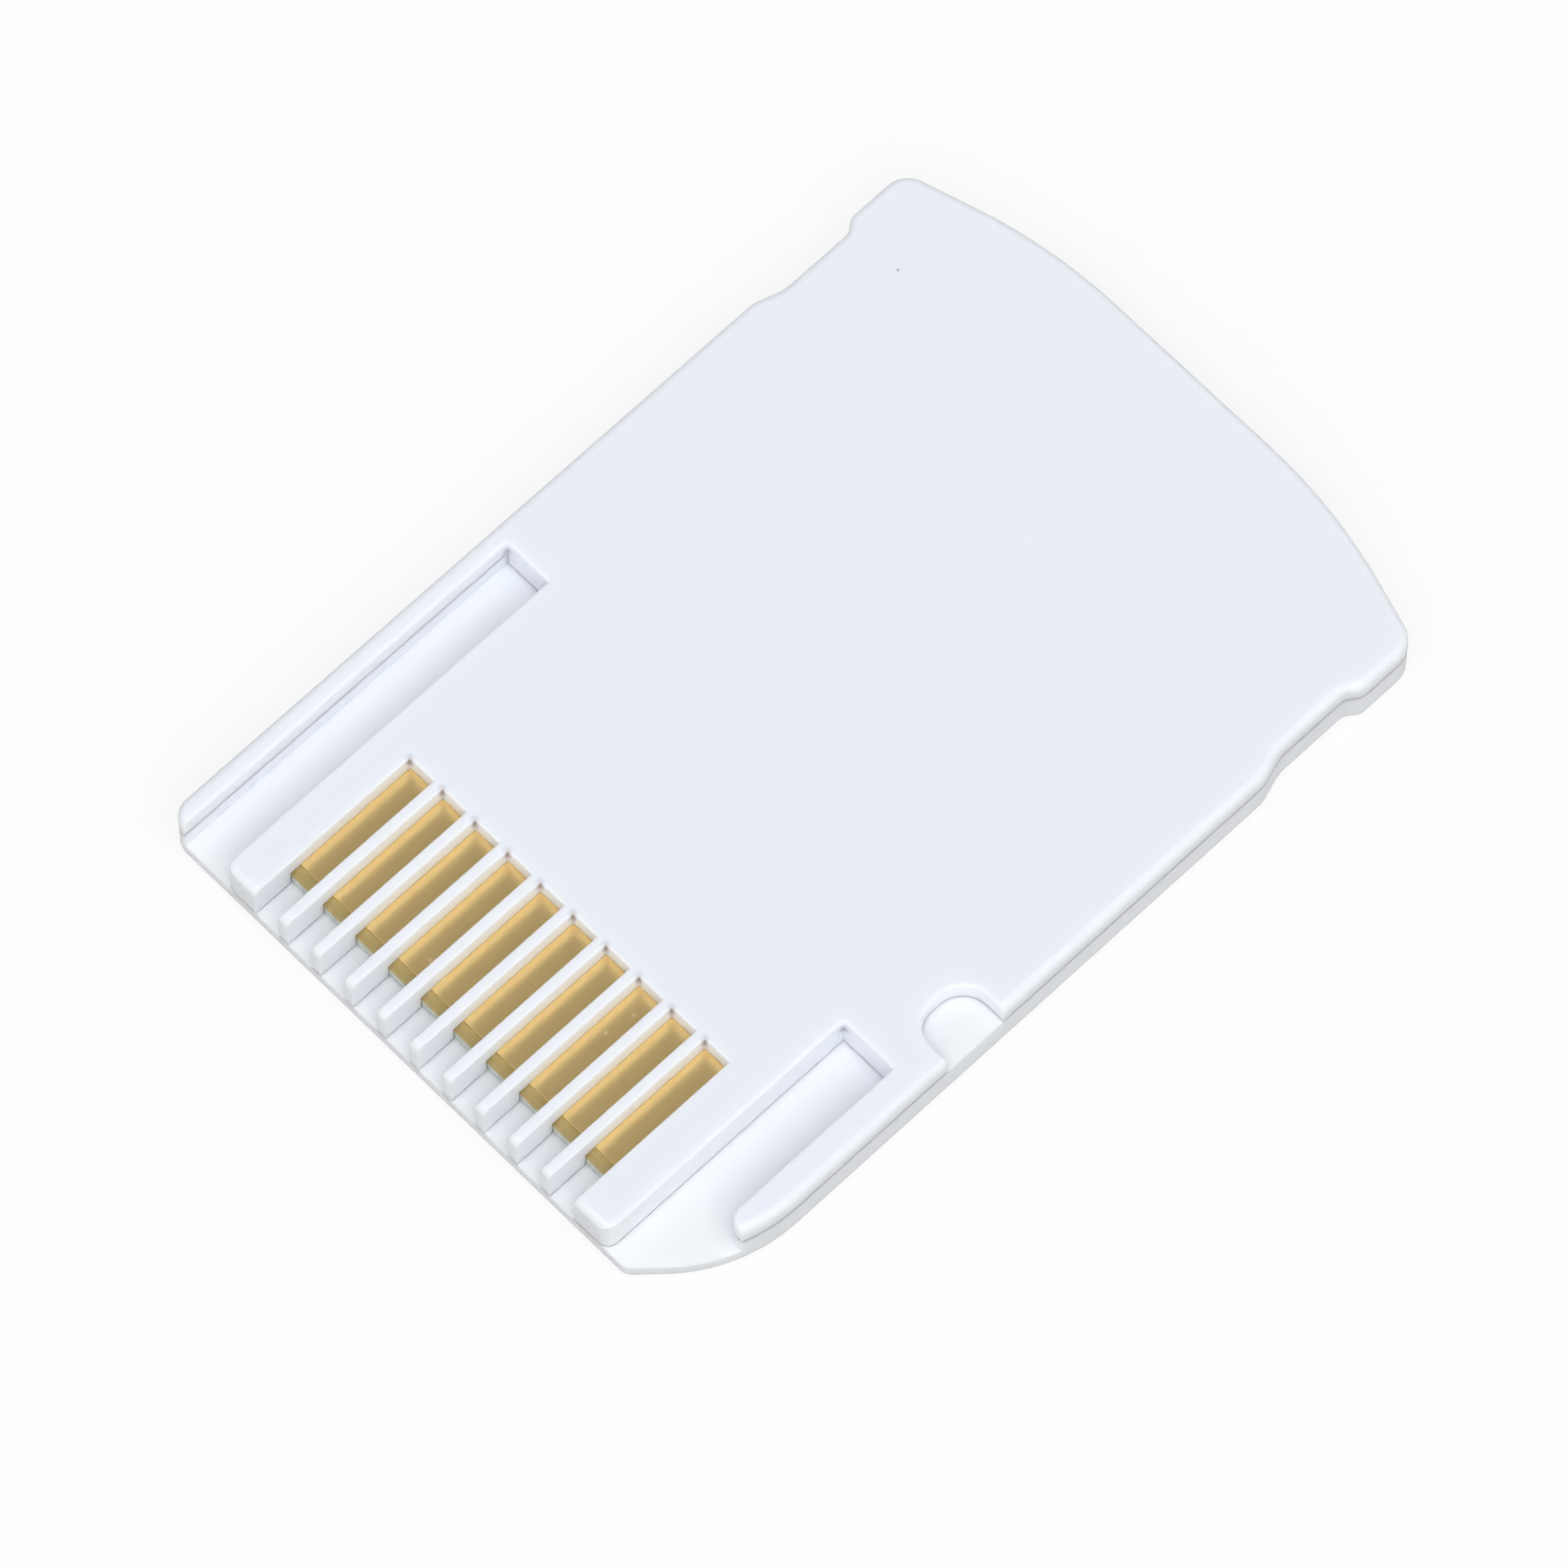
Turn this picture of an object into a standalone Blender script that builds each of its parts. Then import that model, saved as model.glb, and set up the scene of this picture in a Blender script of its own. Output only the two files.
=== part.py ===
# Memory card adapter: a flat carrier in a game card's format that holds a microSD card.
# It rests on its label side. +Z is the contact side, +Y the bowed end, +X the chamfered side.
# Every size is in metres, and the origin is the middle of the label face.

import math

import bmesh
import bpy
from mathutils import Matrix

# Card outline
CARD_WIDTH = 0.0220
CARD_LENGTH = 0.0322
CARD_THICKNESS = 0.0021
BOW_RADIUS = 0.0185
BOW_RUN = 0.004935                    # from the side to where the slope would meet the end
BOW_ANGLE = math.radians(17)          # slope of the bowed end beside its curves
BOW_CORNER_RADIUS = 0.0009
CONTACT_CORNER_RADIUS = 0.0007
CHAMFER_FOOT = 0.00236                # from the side to where the chamfer leaves the contact end
CHAMFER_ANGLE = math.radians(47)
CHAMFER_BLEND = 0.0058                # large radius from the chamfer into the side
CHAMFER_FOOT_RADIUS = 0.0005
CONTACT_FACE_ROUNDING = 0.0003
LABEL_FACE_ROUNDING = 0.00018

# Grip notch in each long side, measured from the bowed end
GRIP_START = 0.00375
GRIP_LENGTH = 0.00415
GRIP_DEPTH = 0.00033
GRIP_STEP = 0.0004
GRIP_RAMP = 0.0010
GRIP_STEP_RADIUS = 0.0005
GRIP_RAMP_RADIUS = 0.0015

# Heights and clearances
LABEL_WALL = 0.00065                  # thickness of the front cover's plate
PARTING_HEIGHT = 0.00135              # where the two covers meet
SEAT_GAP = 0.00002                    # between pieces that rest on each other
FIT_GAP = 0.00004                     # beside pieces that fit into each other

# Walls between the contact block and the card's sides, as shares of that space
LIP_SHARE = 0.27                      # lip outside the left recess, the rest is the recess
RIM_SHARE = 0.324                     # rim outside the right recess
POCKET_SHARE = 0.553                  # depth of the pocket in the chamfered side
SKIRT_WALL = 0.00042                  # wall of the back cover around the board

# Recesses beside the contact block, lengths measured from the contact end
LEFT_RECESS_LENGTH = 0.01337
RIGHT_RECESS_LENGTH = 0.00974
RIGHT_LIP_SETBACK = 0.00287
RIGHT_LIP_RADIUS = 0.0005

# Pocket in the chamfered side
POCKET_START = 0.01105
POCKET_LENGTH = 0.00232
POCKET_RADIUS = 0.0010
POCKET_LEDGE = 0.0005                 # material of the front cover around the pocket's floor

# Contacts
CONTACT_COUNT = 10
FIRST_CONTACT_INSET = 0.00183         # from the block's left side to the middle of a contact
LAST_CONTACT_INSET = 0.00195          # the same from the block's right side
RIB_WIDTH = 0.00038                   # rib between two slots
SLOT_LENGTH = 0.00639
PAD_SPACING = 0.00021                 # bare board between two pads
PAD_THICKNESS = 0.000035
PAD_TUCK = 0.0002                     # how far a pad runs on past the slot's inner end
PAD_MARGIN = 0.00018                  # bare board between a pad and the board's bevel

# Circuit board
BOARD_THICKNESS = 0.0006
BOARD_SETBACK = 0.0015
BOARD_BEVEL = 0.0002
BOARD_LENGTH = 0.0171
BOARD_RELIEF = 0.00017                # beside the socket
LEFT_ARM = 0.00166                    # width of the board's arm beside the socket
RIGHT_ARM = 0.00101

# microSD socket
SOCKET_START = 0.00775                # from the contact end to the socket's inner end
SOCKET_LENGTH = 0.01185
SOCKET_RAIL = 0.00046
SOCKET_END_WALL = 0.00085
SOCKET_FLOOR = 0.00053
CARD_BAY_WIDTH = 0.01124
CARD_BAY_HEIGHT = 0.0008
SHIELD_RECESS = 0.0001                # how far the steel lies below the label face
STEEL = 0.00015
SHIELD_FOLD = 0.00025
SHIELD_SETBACK = 0.00025
TAB_LENGTH = 0.0012
TAB_REACH = 0.00082
TAB_STARTS = (0.0015, 0.0085)         # from the shield's inner end
FINGER_WIDTH = 0.0014
FINGER_LENGTH = 0.0046
FINGER_SLIT = 0.00025
FINGER_SPACING = 0.0056
FINGER_SETBACK = 0.0012
VIEW_SLOT_WIDTH = 0.0066
VIEW_SLOT_LENGTH = 0.0009
VIEW_SLOT_START = 0.0022

# Spring contacts of the socket
SPRING_COUNT = 8
SPRING_INSET = 0.00177                # from the side of the card bay to the outer springs
SPRING_WIDTH = 0.0004
SPRING_THICKNESS = 0.00012
SPRING_TAIL = 0.0008
SPRING_ARM = 0.0023
SPRING_DROP = 0.0003
SPRING_CURL = 0.0008
SPRING_BEND = 0.0004
SPRING_SLOT = 0.0006
DETECT_INSET = 0.00082                # from the side of the card bay to the switch spring
DETECT_DROP = 0.0006

# Card channel between the socket and the bowed end
CHANNEL_WIDTH = 0.0115
CHANNEL_WALL = 0.0008
CHANNEL_WALL_SETBACK = 0.0004         # from the socket's mouth to the walls beside the channel
CHANNEL_FLARE = 0.0007
CHANNEL_CEILING = 0.0011
CHANNEL_PAD_SETBACK = 0.0005

# Hollow of the back cover over the board's parts
HOLLOW_CEILING = 0.00168
HOLLOW_MARGIN = 0.0009

# Surface-mount parts, each as length, width, height
CAPACITOR = (0.0010, 0.0005, 0.00033)
RESISTOR = (0.0010, 0.0005, 0.0003)
CHIP_ROUNDING = 0.00004
CHIP_SPACING = 0.0017

ARC_STEP = math.radians(9)
CHORD_ERROR = 0.00001                 # how far a chord may leave its arc
OVERCUT = 0.0008

LEFT = -CARD_WIDTH / 2
RIGHT = CARD_WIDTH / 2
CONTACT_END = -CARD_LENGTH / 2
BOWED_END = CARD_LENGTH / 2
BOW_SLOPE_X = RIGHT - BOW_RUN

# From the card bay outwards: the shield, the board's arms and the contact block around them
SOCKET_HALF = CARD_BAY_WIDTH / 2 + SOCKET_RAIL
SHIELD_HALF = SOCKET_HALF + FIT_GAP + STEEL
BOARD_INNER = SHIELD_HALF + BOARD_RELIEF
BOARD_LEFT = -BOARD_INNER - LEFT_ARM
BOARD_RIGHT = BOARD_INNER + RIGHT_ARM
BLOCK_LEFT = BOARD_LEFT - FIT_GAP - SKIRT_WALL
BLOCK_RIGHT = BOARD_RIGHT + FIT_GAP + SKIRT_WALL

# The space beside the block is shared between the recess and the wall outside it
LEFT_LIP = LIP_SHARE * (BLOCK_LEFT - LEFT)
RIM_WALL = RIM_SHARE * (RIGHT - BLOCK_RIGHT)
POCKET_LEFT = RIGHT - POCKET_SHARE * (RIGHT - BLOCK_RIGHT)

FIRST_CONTACT = BLOCK_LEFT + FIRST_CONTACT_INSET
CONTACT_PITCH = (BLOCK_RIGHT - LAST_CONTACT_INSET - FIRST_CONTACT) / (CONTACT_COUNT - 1)
SLOT_WIDTH = CONTACT_PITCH - RIB_WIDTH
PAD_WIDTH = CONTACT_PITCH - PAD_SPACING
SLOT_END = CONTACT_END + SLOT_LENGTH
LEFT_RECESS_END = CONTACT_END + LEFT_RECESS_LENGTH
RIGHT_RECESS_END = CONTACT_END + RIGHT_RECESS_LENGTH
RIGHT_LIP_END = CONTACT_END + RIGHT_LIP_SETBACK

BOARD_END = CONTACT_END + BOARD_SETBACK
BOARD_LOW = LABEL_WALL + SEAT_GAP
BOARD_TOP = BOARD_LOW + BOARD_THICKNESS
BOARD_FAR = BOARD_END + BOARD_LENGTH

POCKET_LOW = CONTACT_END + POCKET_START
POCKET_HIGH = POCKET_LOW + POCKET_LENGTH

SOCKET_END = CONTACT_END + SOCKET_START
SOCKET_MOUTH = SOCKET_END + SOCKET_LENGTH
FIRST_SPRING = SPRING_INSET - CARD_BAY_WIDTH / 2
SPRING_PITCH = -2 * FIRST_SPRING / (SPRING_COUNT - 1)
DETECT_X = CARD_BAY_WIDTH / 2 - DETECT_INSET
SHIELD_INNER = SHIELD_RECESS + STEEL
RAIL_LOW = SHIELD_INNER + SEAT_GAP
BAY_CEILING = RAIL_LOW + CARD_BAY_HEIGHT
SOCKET_TOP = BAY_CEILING + SOCKET_FLOOR
SOLDER_HEIGHT = BOARD_TOP + SEAT_GAP


def make_collection(name):
    collection = bpy.data.collections.new(name)
    bpy.context.scene.collection.children.link(collection)
    return collection


def clear_scene():
    for obj in list(bpy.data.objects):
        bpy.data.objects.remove(obj, do_unlink=True)


def make_material(name, colour, roughness, metallic=0.0):
    material = bpy.data.materials.new(name)
    material.use_nodes = True
    shader = material.node_tree.nodes["Principled BSDF"]
    shader.inputs["Base Color"].default_value = (*colour, 1.0)
    shader.inputs["Roughness"].default_value = roughness
    shader.inputs["Metallic"].default_value = metallic
    return material


def round_corner(before, corner, after, radius):
    # Points of the arc that replaces one corner of an outline.
    x, y = corner
    in_x, in_y = before[0] - x, before[1] - y
    out_x, out_y = after[0] - x, after[1] - y
    in_length = math.hypot(in_x, in_y)
    out_length = math.hypot(out_x, out_y)
    in_x, in_y = in_x / in_length, in_y / in_length
    out_x, out_y = out_x / out_length, out_y / out_length
    opening = math.acos(max(-1.0, min(1.0, in_x * out_x + in_y * out_y)))
    reach = radius / math.tan(opening / 2)
    to_centre = radius / math.sin(opening / 2)
    mid_x, mid_y = in_x + out_x, in_y + out_y
    mid_length = math.hypot(mid_x, mid_y)
    centre_x = x + mid_x / mid_length * to_centre
    centre_y = y + mid_y / mid_length * to_centre
    start = math.atan2(y + in_y * reach - centre_y, x + in_x * reach - centre_x)
    end = math.atan2(y + out_y * reach - centre_y, x + out_x * reach - centre_x)
    turn = (end - start + math.pi) % (2 * math.pi) - math.pi
    chord_step = 2 * math.acos(1 - CHORD_ERROR / radius)
    steps = max(2, math.ceil(abs(turn) / min(chord_step, ARC_STEP)))
    return [
        (centre_x + radius * math.cos(start + turn * i / steps),
         centre_y + radius * math.sin(start + turn * i / steps))
        for i in range(steps + 1)
    ]


def rounded_outline(corners, closed=True):
    # Corners are x, y and a radius, which is 0 where the corner stays sharp.
    points = []
    count = len(corners)
    for i, (x, y, radius) in enumerate(corners):
        inside = closed or 0 < i < count - 1
        if radius <= 0 or not inside:
            points.append((x, y))
        else:
            points += round_corner(corners[i - 1], (x, y), corners[(i + 1) % count], radius)
    return points


def mirrored(corners):
    # The same corners on the other side of x = 0, in reverse order.
    return [(-x, y, radius) for x, y, radius in reversed(corners)]


def bowed_edge(x, inset=0.0):
    # Y of the bowed end's straight slope at x, moved in by a wall.
    return BOWED_END - (abs(x) - BOW_SLOPE_X) * math.tan(BOW_ANGLE) - inset / math.cos(BOW_ANGLE)


def card_outline():
    grip_high = BOWED_END - GRIP_START
    grip_low = grip_high - GRIP_LENGTH
    side = [
        (RIGHT, grip_low, GRIP_RAMP_RADIUS),
        (RIGHT - GRIP_DEPTH, grip_low + GRIP_RAMP, GRIP_RAMP_RADIUS),
        (RIGHT - GRIP_DEPTH, grip_high - GRIP_STEP, GRIP_STEP_RADIUS),
        (RIGHT, grip_high, GRIP_STEP_RADIUS),
        (RIGHT, bowed_edge(RIGHT), BOW_CORNER_RADIUS),
        (BOW_SLOPE_X, BOWED_END, BOW_RADIUS),
    ]
    chamfer_rise = CHAMFER_FOOT * math.tan(CHAMFER_ANGLE)
    contact_corners = [
        (LEFT, CONTACT_END, CONTACT_CORNER_RADIUS),
        (RIGHT - CHAMFER_FOOT, CONTACT_END, CHAMFER_FOOT_RADIUS),
        (RIGHT, CONTACT_END + chamfer_rise, CHAMFER_BLEND),
    ]
    return rounded_outline(contact_corners + side + mirrored(side))


def profile_solid(name, outline, depth, placing):
    # A flat outline with a depth along its own normal, welded into one closed mesh.
    curve = bpy.data.curves.new(name, "CURVE")
    curve.dimensions = "2D"
    curve.fill_mode = "BOTH"
    curve.extrude = depth / 2
    spline = curve.splines.new("POLY")
    spline.points.add(len(outline) - 1)
    for point, (x, y) in zip(spline.points, outline):
        point.co = (x, y, 0.0, 1.0)
    spline.use_cyclic_u = True
    guide = bpy.data.objects.new(name + "_outline", curve)
    guide.matrix_world = placing
    PARTS.objects.link(guide)
    bpy.context.view_layer.update()
    evaluated = guide.evaluated_get(bpy.context.evaluated_depsgraph_get())
    mesh = bpy.data.meshes.new_from_object(evaluated)
    mesh.name = name
    bpy.data.objects.remove(guide, do_unlink=True)
    bpy.data.curves.remove(curve)
    shape = bmesh.new()
    shape.from_mesh(mesh)
    bmesh.ops.remove_doubles(shape, verts=shape.verts, dist=1e-7)
    flat = [edge for edge in shape.edges if edge.is_manifold and edge.calc_face_angle() < 1e-4]
    bmesh.ops.dissolve_edges(shape, edges=flat, use_verts=False)
    bmesh.ops.recalc_face_normals(shape, faces=shape.faces)
    shape.to_mesh(mesh)
    shape.free()
    obj = bpy.data.objects.new(name, mesh)
    obj.matrix_world = placing
    PARTS.objects.link(obj)
    return obj


def flat_solid(name, outline, low, high):
    return profile_solid(name, outline, high - low, Matrix.Translation((0, 0, (low + high) / 2)))


def side_profile_solid(name, outline, x, width):
    # The outline's x and y stand for the card's y and z.
    turn = Matrix(((0, 0, 1), (1, 0, 0), (0, 1, 0))).to_4x4()
    return profile_solid(name, outline, width, Matrix.Translation((x, 0, 0)) @ turn)


def end_profile_solid(name, outline, low, high):
    # The outline's x and y stand for the card's x and z.
    turn = Matrix(((1, 0, 0), (0, 0, -1), (0, 1, 0))).to_4x4()
    return profile_solid(name, outline, high - low, Matrix.Translation((0, (low + high) / 2, 0)) @ turn)


def box_solids(name, boxes):
    # One object made of separate boxes, each given by its low and high corner.
    mesh = bpy.data.meshes.new(name)
    shape = bmesh.new()
    for low, high in boxes:
        size = [b - a for a, b in zip(low, high)]
        centre = [(a + b) / 2 for a, b in zip(low, high)]
        placing = Matrix.Translation(centre) @ Matrix.Diagonal((*size, 1.0))
        bmesh.ops.create_cube(shape, size=1.0, matrix=placing)
    shape.to_mesh(mesh)
    shape.free()
    obj = bpy.data.objects.new(name, mesh)
    PARTS.objects.link(obj)
    return obj


def combine(target, tool, operation):
    # Cuts the tool from the target or joins it on, and keeps the tool with the cutters.
    PARTS.objects.unlink(tool)
    CUTTERS.objects.link(tool)
    tool.hide_render = True
    tool.display_type = "WIRE"
    modifier = target.modifiers.new(tool.name, "BOOLEAN")
    modifier.operation = operation
    modifier.object = tool
    modifier.solver = "EXACT"


def cut(target, tool):
    combine(target, tool, "DIFFERENCE")


def join(target, tool):
    combine(target, tool, "UNION")


def round_level_edges(obj, height, radius, segments):
    # Rounds the closed loop of edges that lies at one height of a flat solid.
    mesh = obj.data
    weights = mesh.attributes.new("bevel_weight_edge", "FLOAT", "EDGE")
    level = height - obj.location.z
    for edge in mesh.edges:
        ends = [mesh.vertices[index].co.z for index in edge.vertices]
        if all(abs(z - level) < 1e-6 for z in ends):
            weights.data[edge.index].value = 1.0
    modifier = obj.modifiers.new("rounding", "BEVEL")
    modifier.limit_method = "WEIGHT"
    modifier.width = radius
    modifier.segments = segments
    modifier.use_clamp_overlap = False


def break_edges(obj, width):
    modifier = obj.modifiers.new("edge_break", "BEVEL")
    modifier.limit_method = "ANGLE"
    modifier.angle_limit = math.radians(40)
    modifier.width = width
    modifier.segments = 1


def finish(obj, material):
    obj.data.materials.clear()
    obj.data.materials.append(material)
    obj.data.shade_smooth()
    obj.data.set_sharp_from_angle(angle=math.radians(30))


def card_window_outline():
    # The front cover's opening: the socket's steel fills the wide part, the card slides in the narrow one.
    socket_half = SHIELD_HALF + FIT_GAP
    channel_half = CHANNEL_WIDTH / 2
    mouth = SOCKET_MOUTH + FIT_GAP
    half = [
        (socket_half, SOCKET_END - FIT_GAP, 0),
        (socket_half, mouth, 0),
        (channel_half, mouth, 0),
        (channel_half, BOWED_END - 2 * CHANNEL_FLARE, 0),
        (channel_half + CHANNEL_FLARE, BOWED_END, 0),
        (channel_half + CHANNEL_FLARE, BOWED_END + OVERCUT, 0),
    ]
    return rounded_outline(half + mirrored(half))


def front_cavity_outline():
    # Inside of the front cover's rim. It runs out at the contact end and past the right lip.
    lip_left = LEFT + LEFT_LIP
    rim_left = LEFT + RIM_WALL
    rim_right = RIGHT - RIM_WALL
    wall_out = CHANNEL_WIDTH / 2 + CHANNEL_WALL
    wall_start = SOCKET_MOUTH + CHANNEL_WALL_SETBACK
    left_step = LEFT_RECESS_END + SKIRT_WALL + FIT_GAP
    right_step = RIGHT_RECESS_END + SKIRT_WALL + FIT_GAP
    ledge_left = POCKET_LEFT - POCKET_LEDGE
    ledge_high = POCKET_HIGH + POCKET_LEDGE
    return rounded_outline([
        (lip_left, CONTACT_END - OVERCUT, 0),
        (RIGHT + OVERCUT, CONTACT_END - OVERCUT, 0),
        (RIGHT + OVERCUT, RIGHT_LIP_END, 0),
        (rim_right, RIGHT_LIP_END, RIGHT_LIP_RADIUS),
        (rim_right, right_step, 0),
        (ledge_left, right_step, 0),
        (ledge_left, ledge_high, 0),
        (rim_right, ledge_high, 0),
        (rim_right, bowed_edge(rim_right, RIM_WALL), 0),
        (wall_out, bowed_edge(wall_out, RIM_WALL), 0),
        (wall_out, wall_start, 0),
        (-wall_out, wall_start, 0),
        (-wall_out, bowed_edge(wall_out, RIM_WALL), 0),
        (rim_left, bowed_edge(rim_left, RIM_WALL), 0),
        (rim_left, left_step, 0),
        (lip_left, left_step, 0),
    ])


def make_front_cover():
    cover = flat_solid("front_cover", card_outline(), 0, PARTING_HEIGHT - SEAT_GAP)
    round_level_edges(cover, 0, LABEL_FACE_ROUNDING, 4)
    cut(cover, flat_solid("front_cavity", front_cavity_outline(), LABEL_WALL, CARD_THICKNESS))
    cut(cover, flat_solid("card_window", card_window_outline(), -OVERCUT, CARD_THICKNESS))
    return cover


def skirt_surround_outline():
    # Everything outside the contact block and the end walls of the recesses.
    lip_left = LEFT + LEFT_LIP
    rim_right = RIGHT - RIM_WALL
    left_wall = LEFT_RECESS_END + SKIRT_WALL
    right_wall = RIGHT_RECESS_END + SKIRT_WALL
    skirt_left = BLOCK_LEFT + SKIRT_WALL
    skirt_right = BLOCK_RIGHT - SKIRT_WALL
    return rounded_outline([
        (LEFT - OVERCUT, CONTACT_END - OVERCUT, 0),
        (BLOCK_LEFT, CONTACT_END - OVERCUT, 0),
        (BLOCK_LEFT, LEFT_RECESS_END, 0),
        (lip_left + FIT_GAP, LEFT_RECESS_END, 0),
        (lip_left + FIT_GAP, left_wall, 0),
        (skirt_left, left_wall, 0),
        (skirt_left, BOARD_END - FIT_GAP, 0),
        (skirt_right, BOARD_END - FIT_GAP, 0),
        (skirt_right, right_wall, 0),
        (rim_right - FIT_GAP, right_wall, 0),
        (rim_right - FIT_GAP, RIGHT_RECESS_END, 0),
        (BLOCK_RIGHT, RIGHT_RECESS_END, 0),
        (BLOCK_RIGHT, CONTACT_END - OVERCUT, 0),
        (RIGHT + OVERCUT, CONTACT_END - OVERCUT, 0),
        (RIGHT + OVERCUT, BOWED_END + OVERCUT, 0),
        (LEFT - OVERCUT, BOWED_END + OVERCUT, 0),
    ])


def left_recess_outline():
    return rounded_outline([
        (LEFT + LEFT_LIP, CONTACT_END - OVERCUT, 0),
        (BLOCK_LEFT, CONTACT_END - OVERCUT, 0),
        (BLOCK_LEFT, LEFT_RECESS_END, 0),
        (LEFT + LEFT_LIP, LEFT_RECESS_END, 0),
    ])


def right_recess_outline():
    # The lip stops short of the contact end, and the recess runs out through the chamfer.
    rim_right = RIGHT - RIM_WALL
    return rounded_outline([
        (BLOCK_RIGHT, CONTACT_END - OVERCUT, 0),
        (RIGHT + OVERCUT, CONTACT_END - OVERCUT, 0),
        (RIGHT + OVERCUT, RIGHT_LIP_END, 0),
        (rim_right, RIGHT_LIP_END, RIGHT_LIP_RADIUS),
        (rim_right, RIGHT_RECESS_END, 0),
        (BLOCK_RIGHT, RIGHT_RECESS_END, 0),
    ])


def pocket_outline():
    return rounded_outline([
        (POCKET_LEFT, POCKET_LOW, POCKET_RADIUS),
        (RIGHT + OVERCUT, POCKET_LOW, 0),
        (RIGHT + OVERCUT, POCKET_HIGH, 0),
        (POCKET_LEFT, POCKET_HIGH, POCKET_RADIUS),
    ])


def contact_places():
    return [FIRST_CONTACT + CONTACT_PITCH * i for i in range(CONTACT_COUNT)]


def make_back_cover():
    cover = flat_solid("back_cover", card_outline(), LABEL_WALL + SEAT_GAP, CARD_THICKNESS)
    round_level_edges(cover, CARD_THICKNESS, CONTACT_FACE_ROUNDING, 4)
    cut(cover, flat_solid("skirt_surround", skirt_surround_outline(), -OVERCUT, PARTING_HEIGHT))
    hollow_low = (BOARD_LEFT, SLOT_END + PAD_TUCK + FIT_GAP, PARTING_HEIGHT - OVERCUT)
    hollow_high = (BOARD_RIGHT, SOCKET_MOUTH + HOLLOW_MARGIN, HOLLOW_CEILING)
    cut(cover, box_solids("parts_hollow", [(hollow_low, hollow_high)]))
    cut(cover, flat_solid("left_recess", left_recess_outline(), -OVERCUT, CARD_THICKNESS + OVERCUT))
    cut(cover, flat_solid("right_recess", right_recess_outline(), -OVERCUT, CARD_THICKNESS + OVERCUT))
    cut(cover, flat_solid("side_pocket", pocket_outline(), 0, CARD_THICKNESS + OVERCUT))
    slots = []
    for x in contact_places():
        slot_low = (x - SLOT_WIDTH / 2, CONTACT_END - OVERCUT, 0)
        slot_high = (x + SLOT_WIDTH / 2, SLOT_END, CARD_THICKNESS + OVERCUT)
        slots.append((slot_low, slot_high))
    cut(cover, box_solids("contact_slots", slots))
    pad_half = CHANNEL_WIDTH / 2 - FIT_GAP
    pad_low = (-pad_half, SOCKET_MOUTH + HOLLOW_MARGIN, CHANNEL_CEILING)
    pad_high = (pad_half, BOWED_END - CHANNEL_PAD_SETBACK, HOLLOW_CEILING)
    join(cover, box_solids("channel_pad", [(pad_low, pad_high)]))
    return cover


def make_circuit_board():
    inner_end = SOCKET_END - BOARD_RELIEF
    outline = rounded_outline([
        (BOARD_LEFT, BOARD_END, 0),
        (BOARD_RIGHT, BOARD_END, 0),
        (BOARD_RIGHT, BOARD_FAR, 0),
        (BOARD_INNER, BOARD_FAR, 0),
        (BOARD_INNER, inner_end, 0),
        (-BOARD_INNER, inner_end, 0),
        (-BOARD_INNER, BOARD_FAR, 0),
        (BOARD_LEFT, BOARD_FAR, 0),
    ])
    board = flat_solid("circuit_board", outline, BOARD_LOW, BOARD_TOP)
    bevel_low = BOARD_TOP - BOARD_BEVEL
    bevel = [
        (BOARD_END - OVERCUT, bevel_low - OVERCUT, 0),
        (BOARD_END + BOARD_BEVEL + OVERCUT, BOARD_TOP + OVERCUT, 0),
        (BOARD_END - OVERCUT, BOARD_TOP + OVERCUT, 0),
    ]
    cut(board, side_profile_solid("board_bevel", rounded_outline(bevel), 0, CARD_WIDTH))
    return board


def make_contact_pads():
    pads = []
    low = BOARD_END + BOARD_BEVEL + PAD_MARGIN
    high = SLOT_END + PAD_TUCK
    for i, x in enumerate(contact_places()):
        corner = (x - PAD_WIDTH / 2, low, BOARD_TOP + SEAT_GAP)
        opposite = (x + PAD_WIDTH / 2, high, BOARD_TOP + SEAT_GAP + PAD_THICKNESS)
        pads.append(box_solids(f"contact_pad_{i + 1:02d}", [(corner, opposite)]))
    return pads


def spring_places():
    return [FIRST_SPRING + SPRING_PITCH * i for i in range(SPRING_COUNT)]


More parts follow.
